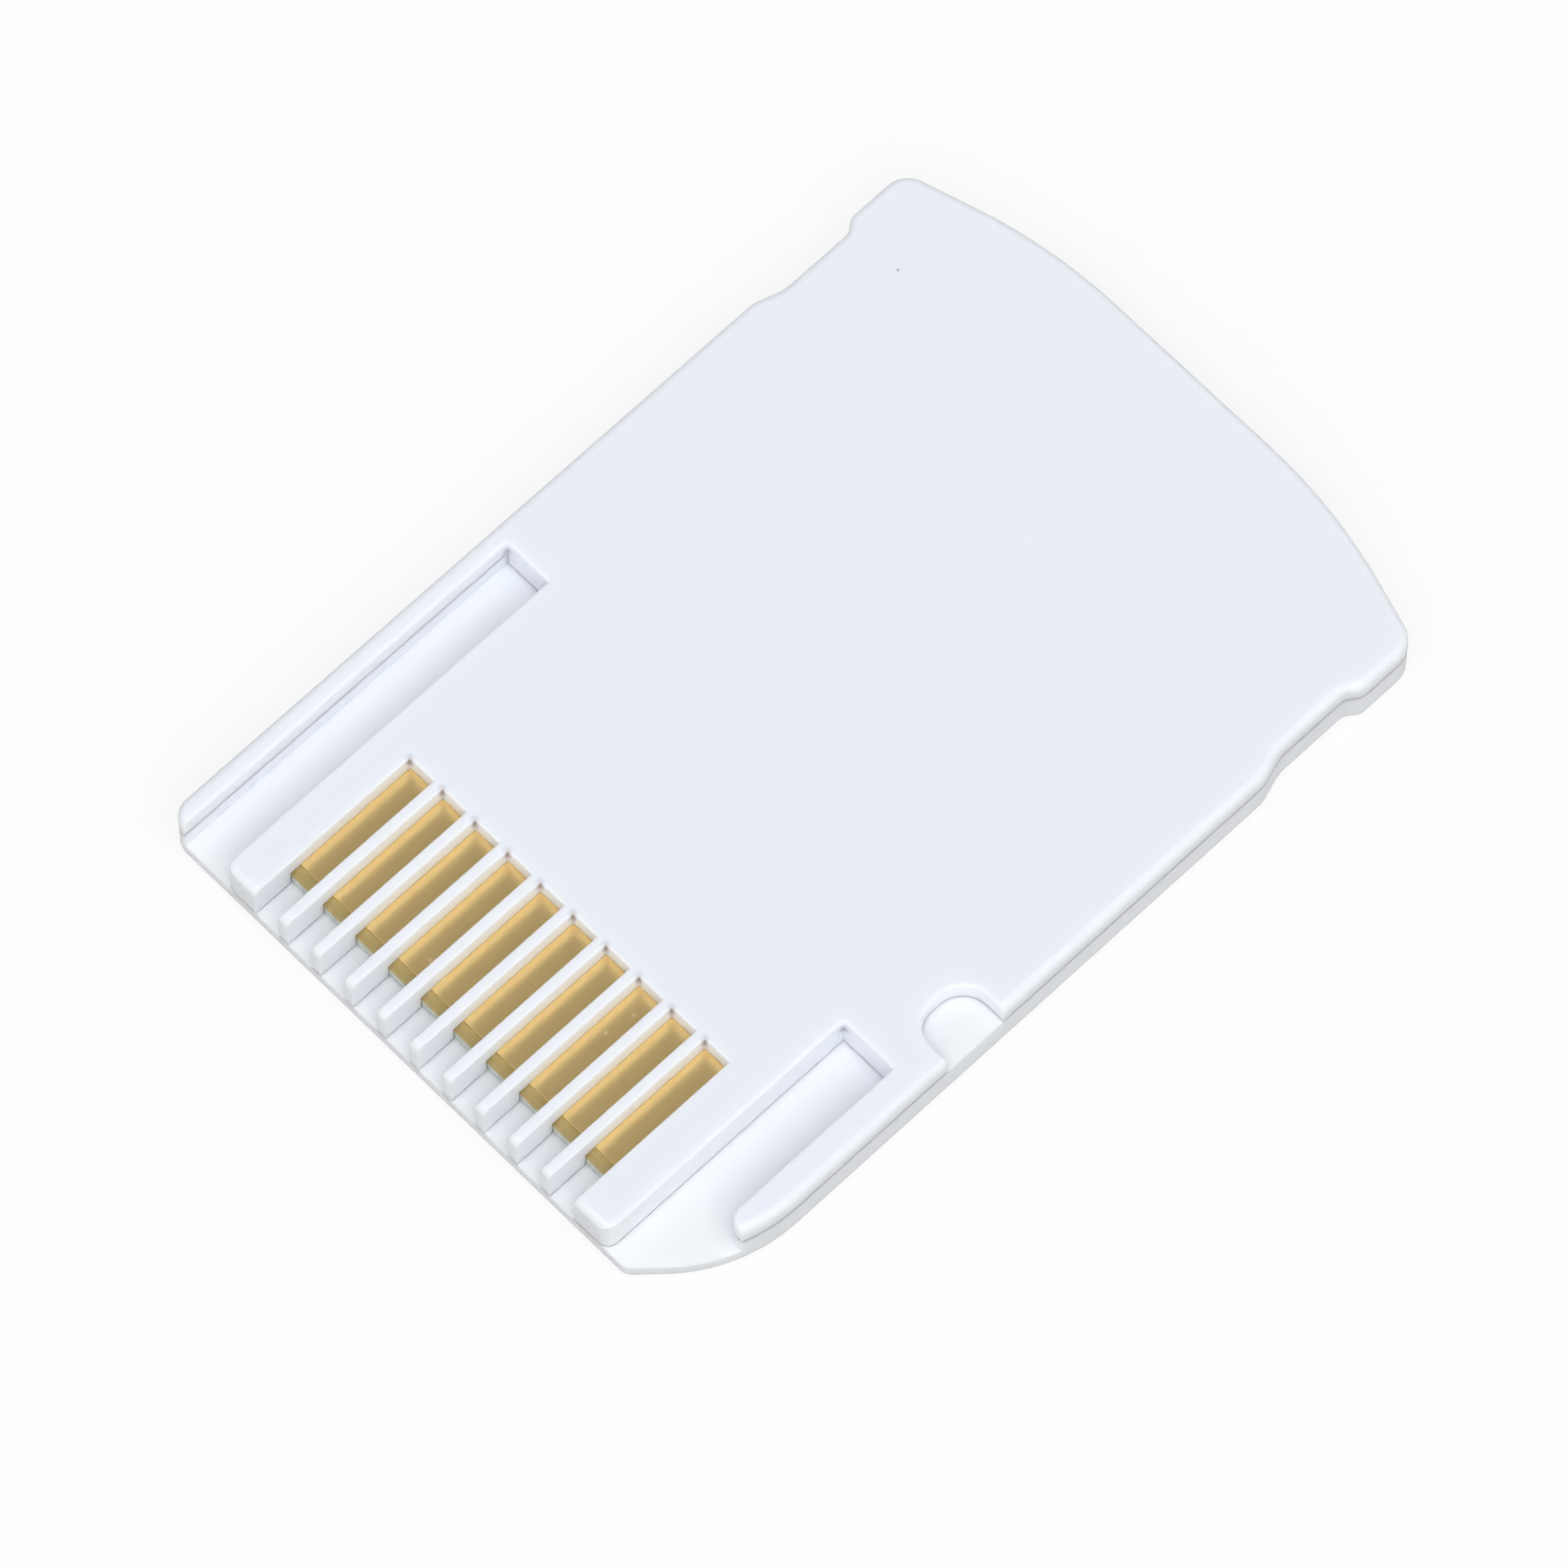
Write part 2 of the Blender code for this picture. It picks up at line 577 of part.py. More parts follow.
def make_socket_housing():
    low = (-SOCKET_HALF, SOCKET_END, RAIL_LOW)
    high = (SOCKET_HALF, SOCKET_MOUTH, SOCKET_TOP)
    housing = box_solids("socket_housing", [(low, high)])
    bay_half = CARD_BAY_WIDTH / 2
    bay_start = SOCKET_END + SOCKET_END_WALL
    bay_low = (-bay_half, bay_start, RAIL_LOW - OVERCUT)
    bay_high = (bay_half, SOCKET_MOUTH + OVERCUT, BAY_CEILING)
    cut(housing, box_solids("card_bay", [(bay_low, bay_high)]))
    window_end = bay_start + SPRING_ARM + SPRING_CURL + SPRING_BEND
    groove_half = SPRING_WIDTH / 2 + FIT_GAP
    windows = []
    for x in spring_places():
        window_low = (x - SPRING_SLOT / 2, bay_start + FIT_GAP, 0)
        window_high = (x + SPRING_SLOT / 2, window_end, SOCKET_TOP + OVERCUT)
        windows.append((window_low, window_high))
    cut(housing, box_solids("spring_windows", windows))
    detect_low = (DETECT_X - SPRING_SLOT / 2, bay_start - FIT_GAP, 0)
    detect_high = (DETECT_X + SPRING_SLOT / 2, bay_start + SPRING_BEND, SOCKET_TOP + OVERCUT)
    cut(housing, box_solids("detect_window", [(detect_low, detect_high)]))
    grooves = []
    for x in spring_places() + [DETECT_X]:
        groove_low = (x - groove_half, SOCKET_END - OVERCUT, SOLDER_HEIGHT - SEAT_GAP)
        groove_high = (x + groove_half, bay_start + 2 * FIT_GAP, SOCKET_TOP + OVERCUT)
        grooves.append((groove_low, groove_high))
    cut(housing, box_solids("tail_grooves", grooves))
    return housing


def make_socket_shield():
    fold_inner = SHIELD_FOLD - STEEL
    inner_half = SHIELD_HALF - STEEL
    tab_out = SHIELD_HALF + TAB_REACH
    tab_top = SOLDER_HEIGHT + STEEL
    half = [
        (SHIELD_HALF, SHIELD_RECESS, SHIELD_FOLD),
        (SHIELD_HALF, SOLDER_HEIGHT, 0),
        (tab_out, SOLDER_HEIGHT, 0),
        (tab_out, tab_top, 0),
        (inner_half, tab_top, 0),
        (inner_half, SHIELD_INNER, fold_inner),
    ]
    low = SOCKET_END + SHIELD_SETBACK
    high = SOCKET_MOUTH - SHIELD_SETBACK
    shield = end_profile_solid("socket_shield", rounded_outline(half + mirrored(half)), low, high)
    edges = [low - OVERCUT]
    for start in TAB_STARTS:
        edges += [low + start, low + start + TAB_LENGTH]
    edges.append(high + OVERCUT)
    gaps = []
    for start, end in zip(edges[0::2], edges[1::2]):
        for side in (-1, 1):
            reach = sorted((side * (inner_half - FIT_GAP), side * (tab_out + OVERCUT)))
            gaps.append(((reach[0], start, BAY_CEILING), (reach[1], end, tab_top + OVERCUT)))
    cut(shield, box_solids("tab_gaps", gaps))
    finger_high = high - FINGER_SETBACK
    finger_low = finger_high - FINGER_LENGTH
    for i, x in enumerate((-FINGER_SPACING / 2, FINGER_SPACING / 2)):
        outer = FINGER_WIDTH / 2 + FINGER_SLIT
        slit = rounded_outline([
            (x - outer, finger_low, 0),
            (x - FINGER_WIDTH / 2, finger_low, 0),
            (x - FINGER_WIDTH / 2, finger_high - FINGER_SLIT, 0),
            (x + FINGER_WIDTH / 2, finger_high - FINGER_SLIT, 0),
            (x + FINGER_WIDTH / 2, finger_low, 0),
            (x + outer, finger_low, 0),
            (x + outer, finger_high, 0),
            (x - outer, finger_high, 0),
        ])
        cut(shield, flat_solid(f"finger_slit_{i + 1}", slit, -OVERCUT, SHIELD_INNER + FIT_GAP))
    view_low = (-VIEW_SLOT_WIDTH / 2, low + VIEW_SLOT_START, -OVERCUT)
    view_high = (VIEW_SLOT_WIDTH / 2, low + VIEW_SLOT_START + VIEW_SLOT_LENGTH, SHIELD_INNER + FIT_GAP)
    cut(shield, box_solids("view_slot", [(view_low, view_high)]))
    return shield


def strip_outline(path, thickness):
    # Outline of a bent strip of even thickness around an open path.
    sides = ([], [])
    for i, (x, y) in enumerate(path):
        before = path[max(i - 1, 0)]
        after = path[min(i + 1, len(path) - 1)]
        run_x, run_y = after[0] - before[0], after[1] - before[1]
        length = math.hypot(run_x, run_y)
        shift_x = -run_y / length * thickness / 2
        shift_y = run_x / length * thickness / 2
        sides[0].append((x - shift_x, y - shift_y))
        sides[1].append((x + shift_x, y + shift_y))
    return sides[0] + sides[1][::-1]


def make_socket_contacts():
    level = SOLDER_HEIGHT + SPRING_THICKNESS / 2
    tail = SOCKET_END - SPRING_TAIL
    knee = SOCKET_END + SOCKET_END_WALL + SPRING_BEND
    tip = knee + SPRING_ARM
    path = rounded_outline([
        (tail, level, 0),
        (knee, level, SPRING_BEND),
        (tip, level - SPRING_DROP, SPRING_BEND),
        (tip + SPRING_CURL / 2, level - SPRING_DROP / 3, 0),
    ], closed=False)
    outline = strip_outline(path, SPRING_THICKNESS)
    return [
        side_profile_solid(f"socket_contact_{i + 1}", outline, x, SPRING_WIDTH)
        for i, x in enumerate(spring_places())
    ]


def make_card_detect_spring():
    level = SOLDER_HEIGHT + SPRING_THICKNESS / 2
    tail = SOCKET_END - SPRING_TAIL
    blade = SOCKET_END + SOCKET_END_WALL + FIT_GAP + SPRING_THICKNESS
    path = rounded_outline([
        (tail, level, 0),
        (blade, level, SPRING_THICKNESS),
        (blade, level - DETECT_DROP, 0),
    ], closed=False)
    outline = strip_outline(path, SPRING_THICKNESS)
    return side_profile_solid("card_detect_spring", outline, DETECT_X, SPRING_WIDTH)


def make_chip(name, size, x, y):
    length, width, height = size
    low = (x - width / 2, y - length / 2, SOLDER_HEIGHT)
    high = (x + width / 2, y + length / 2, SOLDER_HEIGHT + height)
    chip = box_solids(name, [(low, high)])
    break_edges(chip, CHIP_ROUNDING)
    return chip


def chip_places(count, x):
    # A row along one arm of the board, between the shield's solder tabs.
    first_tab_end = SOCKET_END + SHIELD_SETBACK + TAB_STARTS[0] + TAB_LENGTH
    second_tab = SOCKET_END + SHIELD_SETBACK + TAB_STARTS[1]
    middle = (first_tab_end + second_tab) / 2
    return [(x, middle + CHIP_SPACING * (i - (count - 1) / 2)) for i in range(count)]


clear_scene()
PARTS = make_collection("memory_card_adapter")
CUTTERS = make_collection("cutters")

white_abs = make_material("white_abs", (0.82, 0.84, 0.90), 0.45)
board_laminate = make_material("board_laminate", (0.42, 0.45, 0.30), 0.5)
gold_plating = make_material("gold_plating", (0.83, 0.61, 0.26), 0.25, 1.0)
black_lcp = make_material("black_lcp", (0.02, 0.02, 0.022), 0.5)
stamped_steel = make_material("stamped_steel", (0.62, 0.62, 0.60), 0.3, 1.0)
phosphor_bronze = make_material("phosphor_bronze", (0.72, 0.52, 0.26), 0.3, 1.0)
capacitor_ceramic = make_material("capacitor_ceramic", (0.45, 0.33, 0.2), 0.5)
resistor_ceramic = make_material("resistor_ceramic", (0.03, 0.03, 0.035), 0.4)

finish(make_back_cover(), white_abs)
finish(make_front_cover(), white_abs)
finish(make_circuit_board(), board_laminate)
for contact_pad in make_contact_pads():
    finish(contact_pad, gold_plating)
finish(make_socket_housing(), black_lcp)
finish(make_socket_shield(), stamped_steel)
for socket_contact in make_socket_contacts():
    finish(socket_contact, phosphor_bronze)
finish(make_card_detect_spring(), phosphor_bronze)

# The chips stand along the middle of the board's two arms, beside the socket.
left_middle = BOARD_LEFT + LEFT_ARM / 2
right_middle = BOARD_RIGHT - RIGHT_ARM / 2
for i, (x, y) in enumerate(chip_places(2, left_middle)):
    finish(make_chip(f"capacitor_{i + 1}", CAPACITOR, x, y), capacitor_ceramic)
for i, (x, y) in enumerate(chip_places(3, right_middle)):
    finish(make_chip(f"resistor_{i + 1}", RESISTOR, x, y), resistor_ceramic)
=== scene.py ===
import math

import bmesh
import bpy
from mathutils import Matrix, Vector


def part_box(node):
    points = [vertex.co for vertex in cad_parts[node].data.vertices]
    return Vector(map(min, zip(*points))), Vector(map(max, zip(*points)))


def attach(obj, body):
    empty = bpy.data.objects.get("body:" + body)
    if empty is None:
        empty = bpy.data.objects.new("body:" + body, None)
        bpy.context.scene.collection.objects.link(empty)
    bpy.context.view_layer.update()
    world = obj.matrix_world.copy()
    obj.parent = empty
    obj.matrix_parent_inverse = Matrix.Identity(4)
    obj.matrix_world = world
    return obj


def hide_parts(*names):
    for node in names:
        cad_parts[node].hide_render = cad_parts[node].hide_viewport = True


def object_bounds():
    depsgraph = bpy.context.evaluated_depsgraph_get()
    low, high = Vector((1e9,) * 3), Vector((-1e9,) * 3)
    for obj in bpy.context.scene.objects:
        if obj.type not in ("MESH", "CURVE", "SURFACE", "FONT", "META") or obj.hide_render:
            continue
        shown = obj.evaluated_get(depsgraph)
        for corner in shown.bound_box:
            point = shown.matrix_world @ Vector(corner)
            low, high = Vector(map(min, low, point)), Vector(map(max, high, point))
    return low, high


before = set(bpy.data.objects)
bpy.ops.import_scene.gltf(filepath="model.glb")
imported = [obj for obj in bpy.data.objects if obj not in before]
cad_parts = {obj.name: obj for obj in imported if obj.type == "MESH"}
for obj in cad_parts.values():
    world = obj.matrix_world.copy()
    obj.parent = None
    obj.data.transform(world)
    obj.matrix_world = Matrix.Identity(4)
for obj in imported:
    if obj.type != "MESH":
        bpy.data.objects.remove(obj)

# Memory card adapter: white game card carrier lying contact side up, dressed for its picture.
# Blender's units are metres, so every size in millimetres is multiplied by mm.
mm = 0.001
cadLow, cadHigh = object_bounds()
print("frame loaded,", len(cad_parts), "nodes")

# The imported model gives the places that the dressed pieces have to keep.
left, right = cadLow.x, cadHigh.x
contactEnd, bowedEnd = cadLow.y, cadHigh.y
top = cadHigh.z
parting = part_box("front_cover")[1].z
boardLow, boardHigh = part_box("circuit_board")
firstPadLow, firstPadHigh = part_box("contact_pad_01")
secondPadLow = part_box("contact_pad_02")[0]
padNodes = sorted(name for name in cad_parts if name.startswith("contact_pad_"))
overcut = 0.8 * mm

# Sizes of the contact slots, which the materials follow too.
contactRow = {
    "count": len(padNodes),
    "pitch": secondPadLow.x - firstPadLow.x,
    "slotWidth": 1.03 * mm,
    "slotLength": 6.39 * mm,
    "slotEdge": 0.08 * mm,           # rounding of the ribs' edges
    "slotCorner": 0.05 * mm,
    "padCorner": 0.06 * mm,
    "padEdge": 0.014 * mm,
}


# Outlines

outlineDetail = {
    "chordError": 0.002 * mm,        # how far a chord may leave its arc
    "widestStep": math.radians(6),
}


def roundCorner(before, corner, after, radius):
    # points of the arc that takes the place of one corner
    back = (before - corner).normalized()
    ahead = (after - corner).normalized()
    opening = back.angle(ahead)
    centre = corner + (back + ahead).normalized() * radius / math.sin(opening / 2)
    start = corner + back * radius / math.tan(opening / 2) - centre
    turn = math.copysign(math.pi - opening, -back.cross(ahead))
    chordStep = 2 * math.acos(1 - outlineDetail["chordError"] / radius)
    steps = max(2, math.ceil(abs(turn) / min(chordStep, outlineDetail["widestStep"])))
    return [centre + Matrix.Rotation(turn * i / steps, 2) @ start for i in range(steps + 1)]


def roundedOutline(corners):
    # corners are x, y and the radius there, counter-clockwise
    points = []
    for i, (x, y, radius) in enumerate(corners):
        if radius > 0:
            before = Vector(corners[i - 1][:2])
            after = Vector(corners[(i + 1) % len(corners)][:2])
            points += roundCorner(before, Vector((x, y)), after, radius)
        else:
            points.append(Vector((x, y)))
    return points


def insetOutline(points, distance):
    # moves every edge inwards by the distance, or outwards where it is negative
    moved = []
    for i, point in enumerate(points):
        into = (point - points[i - 1]).normalized()
        out = (points[(i + 1) % len(points)] - point).normalized()
        intoNormal = Vector((-into.y, into.x))
        outNormal = Vector((-out.y, out.x))
        reach = distance / (1 + intoNormal.dot(outNormal))
        moved.append(point + (intoNormal + outNormal) * reach)
    return moved


def mirrored(corners):
    return [(-x, y, radius) for x, y, radius in reversed(corners)]


# Solids

def meshPiece(name, shape):
    mesh = bpy.data.meshes.new(name)
    bmesh.ops.recalc_face_normals(shape, faces=shape.faces)
    shape.to_mesh(mesh)
    shape.free()
    piece = bpy.data.objects.new(name, mesh)
    bpy.context.scene.collection.objects.link(piece)
    return piece


def ringSolid(name, rings):
    # rings are (outline, height), all with the same number of points
    shape = bmesh.new()
    levels = [[shape.verts.new((p.x, p.y, height)) for p in points] for points, height in rings]
    for lower, upper in zip(levels, levels[1:]):
        for i in range(len(lower)):
            j = (i + 1) % len(lower)
            shape.faces.new((lower[i], lower[j], upper[j], upper[i]))
    shape.faces.new(levels[0][::-1])
    shape.faces.new(levels[-1])
    return meshPiece(name, shape)


def roundedPlate(name, points, low, high, lowRounding=0, highRounding=0, steps=7):
    rings = []
    for i in range(steps + 1 if lowRounding else 1):
        angle = math.pi / 2 * i / steps if lowRounding else math.pi / 2
        height = low + lowRounding * (1 - math.cos(angle)) if lowRounding else low
        rings.append((insetOutline(points, lowRounding * (1 - math.sin(angle))), height))
    for i in range(steps + 1 if highRounding else 1):
        angle = math.pi / 2 * i / steps
        height = high - highRounding * (1 - math.sin(angle))
        rings.append((insetOutline(points, highRounding * (1 - math.cos(angle))), height))
    return ringSolid(name, rings)


def flaredTool(name, points, deep, face, flare, steps=5):
    # a cutter whose walls flare out at the face, which leaves a rounded edge there
    way = math.copysign(1, face - deep)
    rings = [(points, deep)]
    for i in range(steps + 1):
        angle = math.pi / 2 * i / steps
        offset = -flare * (1 - math.cos(angle))
        rings.append((insetOutline(points, offset), face - way * flare * (1 - math.sin(angle))))
    rings.append((insetOutline(points, -flare), face + way * overcut))
    return ringSolid(name, rings)


def applyModifiers(piece):
    bpy.context.view_layer.update()
    evaluated = piece.evaluated_get(bpy.context.evaluated_depsgraph_get())
    plain = bpy.data.meshes.new_from_object(evaluated)
    piece.modifiers.clear()
    piece.data = plain
    plain.name = piece.name


def carve(piece, tools, operation="DIFFERENCE"):
    for tool in tools:
        step = piece.modifiers.new(tool.name, "BOOLEAN")
        step.operation = operation
        step.object = tool
        step.solver = "EXACT"
    applyModifiers(piece)
    for tool in tools:
        bpy.data.objects.remove(tool, do_unlink=True)


shading = {"sharpAngle": math.radians(32), "faceWeight": 100}


def smoothPiece(piece):
    # smooth roundings beside flat faces: the large faces keep their own normals
    piece.data.shade_smooth()
    piece.data.set_sharp_from_angle(angle=shading["sharpAngle"])
    weighting = piece.modifiers.new("faceWeights", "WEIGHTED_NORMAL")
    weighting.keep_sharp = True
    weighting.weight = shading["faceWeight"]


def dress(piece, material, nodes):
    piece.data.materials.clear()
    piece.data.materials.append(material)
    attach(piece, "root")
    if nodes:
        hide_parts(*nodes)


# Materials

def hexColour(text):
    # sRGB hex to the linear colour that Blender's sockets hold
    channels = [int(text[i:i + 2], 16) / 255 for i in (0, 2, 4)]
    linear = [c / 12.92 if c <= 0.04045 else ((c + 0.055) / 1.055) ** 2.4 for c in channels]
    return (*linear, 1.0)


def addNode(tree, kind, inputs=None, **settings):
    # settings first, because they decide which sockets a node has
    node = tree.nodes.new(kind)
    for name, value in settings.items():
        setattr(node, name, value)
    for socket, value in (inputs or {}).items():
        if isinstance(value, bpy.types.NodeSocket):
            tree.links.new(value, node.inputs[socket])
        else:
            node.inputs[socket].default_value = value
    return node


def newMaterial(name):
    material = bpy.data.materials.new(name)
    material.use_nodes = True
    tree = material.node_tree
    shader = tree.nodes["Principled BSDF"]
    place = addNode(tree, "ShaderNodeTexCoord").outputs["Object"]
    return material, tree, shader, place


def setShader(tree, shader, **inputs):
    for name, value in inputs.items():
        socket = shader.inputs[name.replace("_", " ")]
        if isinstance(value, bpy.types.NodeSocket):
            tree.links.new(value, socket)
        else:
            socket.default_value = value


def mixColours(tree, share, first, second):
    # colours are hex texts or sockets; 6, 7 and 2 are the mix node's colour sockets
    first, second = (hexColour(c) if isinstance(c, str) else c for c in (first, second))
    return addNode(tree, "ShaderNodeMix", {
        "Factor": share, 6: first, 7: second}, data_type="RGBA").outputs[2]


def calculate(tree, operation, *values):
    values = dict(enumerate(values))
    return addNode(tree, "ShaderNodeMath", values, operation=operation).outputs[0]


def changeRange(tree, value, limits, source=(0.0, 1.0), shape="LINEAR"):
    # the source range becomes the limits, and values beyond it stay at the nearer limit
    return addNode(tree, "ShaderNodeMapRange", {
        "Value": value, "From Min": source[0], "From Max": source[1],
        "To Min": limits[0], "To Max": limits[1]}, interpolation_type=shape).outputs["Result"]


def makeNoise(tree, place, size, detail, roughness=0.5):
    # size is one length, or one for each axis where the pattern is drawn out
    scale = 1.0
    if isinstance(size, tuple):
        place = addNode(tree, "ShaderNodeMapping", {
            "Vector": place, "Scale": [1 / length for length in size]}).outputs["Vector"]
    else:
        scale = 1 / size
    return addNode(tree, "ShaderNodeTexNoise", {
        "Vector": place, "Scale": scale, "Detail": detail, "Roughness": roughness}).outputs["Fac"]


def makeRelief(tree, height, depth):
    return addNode(tree, "ShaderNodeBump", {
        "Height": height, "Distance": depth, "Strength": 1.0}).outputs["Normal"]


def splitAxes(tree, place):
    return addNode(tree, "ShaderNodeSeparateXYZ", {"Vector": place}).outputs


def nearSpot(tree, place, spot, core, reach, cover, shape="LINEAR"):
    # the cover out to the core distance from a spot, then less, down to nothing at the reach
    apart = addNode(tree, "ShaderNodeVectorMath", {0: place, 1: spot}, operation="DISTANCE")
    return changeRange(tree, apart.outputs["Value"], (cover, 0.0), (core, reach), shape)


def scaleColour(tree, colour, factor):
    return addNode(tree, "ShaderNodeVectorMath", {
        0: colour, "Scale": factor}, operation="SCALE").outputs["Vector"]


absLook = {
    "face": "EAEEF9",                # top face, painted a little darker and cooler than the walls
    # walls and floors below the face painted lighter: painted light for the light that bounces
    # about in the slots and recesses
    "wall": "F1F4FD",
    "faceDepth": 0.25 * mm,
    "shade": 0.985,                  # slightly greyer where the melt cooled last
    "refraction": 1.53,
    "roughness": (0.40, 0.52),
    "scatter": 1.0,                  # light spreads inside the milky plastic
    "scatterDepth": 0.32 * mm,
    "flowSize": 4.0 * mm,
    "flowDetail": 2.0,
    "grainSize": 0.09 * mm,          # spark-eroded mould texture, drawn coarser than real
    "grainDetail": 1.0,
    "grainDepth": 0.0006 * mm,
    "spots": (                       # a speck on the face, then painted shade in two corners: place, core, reach, cover and colour of each
        ((-8.656, 12.082, 2.1), 0.03, 0.07, 0.8, "B4B1AE"),
        # painted shade in the far left corners of the right and left recesses
        ((7.91, -6.36, 1.6), 0.03, 0.3, 0.5, "6E6A62"),
        ((-10.34, -2.73, 1.6), 0.03, 0.3, 0.45, "6E6A62"),
    ),
    "grimeReach": 0.22 * mm,         # painted shade in the far left corner of each slot, where its two walls meet
    "grimeTop": 2.0 * mm,            # height where it is thickest
    "grimeFlattening": 0.35,         # below 1 it reaches further down than sideways
    "grimeAmount": 0.85,             # inside the slot, and less on the face
    "grimeOnFace": 0.35,
    "grimeColour": "7E6038",
}


def slotCornerPaintedShade(tree, place, onFace):
    # painted shade: distance from the top of the upright edge at the far left corner of the nearest
    # slot
    cornerX = (firstPadLow.x + firstPadHigh.x - contactRow["slotWidth"]) / 2
    cornerY = contactEnd + contactRow["slotLength"]
    pitch = contactRow["pitch"]
    rowLength = contactRow["count"] * pitch
    axes = splitAxes(tree, place)
    along = calculate(tree, "SUBTRACT", axes["X"], cornerX)
    below = calculate(tree, "SUBTRACT", axes["Z"], absLook["grimeTop"])
    offset = addNode(tree, "ShaderNodeCombineXYZ", {
        "X": calculate(tree, "WRAP", along, pitch / 2, -pitch / 2),
        "Y": calculate(tree, "SUBTRACT", axes["Y"], cornerY),
        "Z": calculate(tree, "MULTIPLY", below, absLook["grimeFlattening"])})
    apart = addNode(tree, "ShaderNodeVectorMath", {
        0: offset.outputs["Vector"]}, operation="LENGTH").outputs["Value"]
    amount = changeRange(tree, apart, (absLook["grimeAmount"], 0.0),
                         (0.0, absLook["grimeReach"]), "SMOOTHSTEP")
    kept = changeRange(tree, onFace, (1.0, absLook["grimeOnFace"]))
    inRow = calculate(tree, "COMPARE", along, (rowLength - pitch) / 2, rowLength / 2)
    return calculate(tree, "MULTIPLY", calculate(tree, "MULTIPLY", amount, kept), inRow)


def makeMouldedAbs():
    # injection-moulded ABS: cool white and satin, with a faint eroded grain
    material, tree, shader, place = newMaterial("mouldedWhiteAbs")
    onFace = changeRange(tree, splitAxes(tree, place)["Z"], (0.0, 1.0),
                         (top - absLook["faceDepth"], top))
    flow = makeNoise(tree, place, absLook["flowSize"], absLook["flowDetail"])
    # painted light: walls and floors below the face are lighter than the top face
    faceOverPaintedLighterWalls = mixColours(tree, onFace, absLook["wall"], absLook["face"])
    colour = scaleColour(tree, faceOverPaintedLighterWalls, changeRange(tree, flow, (1.0, absLook["shade"])))
    # painted shade in the far left corner of each slot
    colour = mixColours(tree, slotCornerPaintedShade(tree, place, onFace), colour, absLook["grimeColour"])
    # a speck on the face, and painted shade in the recesses' far left corners
    for spot, core, reach, cover, spotColour in absLook["spots"]:
        near = nearSpot(tree, place, Vector(spot) * mm, core * mm, reach * mm, cover, "SMOOTHSTEP")
        colour = mixColours(tree, near, colour, spotColour)
    grain = makeNoise(tree, place, absLook["grainSize"], absLook["grainDetail"])
    setShader(tree, shader, Base_Color=colour, IOR=absLook["refraction"],
              Roughness=changeRange(tree, grain, absLook["roughness"]),
              Normal=makeRelief(tree, grain, absLook["grainDepth"]),
              Subsurface_Weight=absLook["scatter"], Subsurface_Radius=(1.0, 1.0, 1.0),
              Subsurface_Scale=absLook["scatterDepth"])
    return material


goldLook = {
    "colour": "FFE3A0",
    "worn": "FBD793",
    "roughness": (0.25, 0.35),
    "streakSize": (0.04 * mm, 1.6 * mm, 0.2 * mm),   # fine streaks along the card's way in
    "streakDetail": 3.0,
    "streakRoughness": 0.55,
    "streakDepth": 0.0004 * mm,
    "specks": ((-2.315, -13.589), (3.033, -11.463), (3.194, -10.464)),
    "speckHeight": 1.325 * mm,
    "speckSize": 0.04 * mm,
    "speckReach": 0.1 * mm,
    "speckCover": 0.3,
    "speckColour": "EBDDBD",
}


def makeGoldPlating():
    # hard gold over nickel: soft mirror with rubbing streaks and a few specks of dust
    material, tree, shader, place = newMaterial("hardGoldPlating")
    streaks = makeNoise(tree, place, goldLook["streakSize"], goldLook["streakDetail"],
                        goldLook["streakRoughness"])
    dust = 0.0
    for x, y in goldLook["specks"]:
        spot = (x * mm, y * mm, goldLook["speckHeight"])
        near = nearSpot(tree, place, spot, goldLook["speckSize"], goldLook["speckReach"],
                        goldLook["speckCover"])
        dust = calculate(tree, "MAXIMUM", dust, near)
    plated = mixColours(tree, streaks, goldLook["colour"], goldLook["worn"])
    setShader(tree, shader, Base_Color=mixColours(tree, dust, plated, goldLook["speckColour"]),
              Metallic=calculate(tree, "SUBTRACT", 1.0, dust),
              Roughness=changeRange(tree, streaks, goldLook["roughness"]),
              Normal=makeRelief(tree, streaks, goldLook["streakDepth"]))
    return material


boardLook = {
    "core": "D3D6C6",                # cut end of the glass laminate
    "face": "B59F62",                # resin-rich face and bevel, over glass cloth
    "faceDepth": 0.22 * mm,
    "blend": 0.06 * mm,
    "clothThread": 0.45 * mm,
    "waveUnit": 0.314,               # a wave texture of scale 1 has bands this far apart
    "clothDistortion": 0.3,
    "clothShade": (0.93, 1.03),
    "roughness": 0.42,
    "refraction": 1.54,
}


def makeLaminate():
    # glass-fibre laminate: olive resin above, pale cut glass below, with a faint weave
    material, tree, shader, place = newMaterial("glassFibreLaminate")
    faceStart = boardHigh.z - boardLook["faceDepth"]
    depth = changeRange(tree, splitAxes(tree, place)["Z"], (0.0, 1.0),
                        (faceStart - boardLook["blend"], faceStart + boardLook["blend"]))
    layers = mixColours(tree, depth, boardLook["core"], boardLook["face"])
    threads = [
        addNode(tree, "ShaderNodeTexWave", {
            "Vector": place, "Scale": boardLook["waveUnit"] / boardLook["clothThread"],
            "Distortion": boardLook["clothDistortion"]}, bands_direction=axis).outputs["Fac"]
        for axis in ("X", "Y")
    ]
    cloth = changeRange(tree, calculate(tree, "MULTIPLY", *threads), boardLook["clothShade"])
    setShader(tree, shader, Base_Color=scaleColour(tree, layers, cloth),
              Roughness=boardLook["roughness"], IOR=boardLook["refraction"])
    return material


lcpLook = {
    "colour": "1C1C1E",
    "fibre": "2B2B2D",
    "fibreSize": (0.03 * mm, 0.25 * mm, 0.03 * mm),
    "fibreDetail": 2.0,
    "roughness": (0.45, 0.65),
    "refraction": 1.6,
}


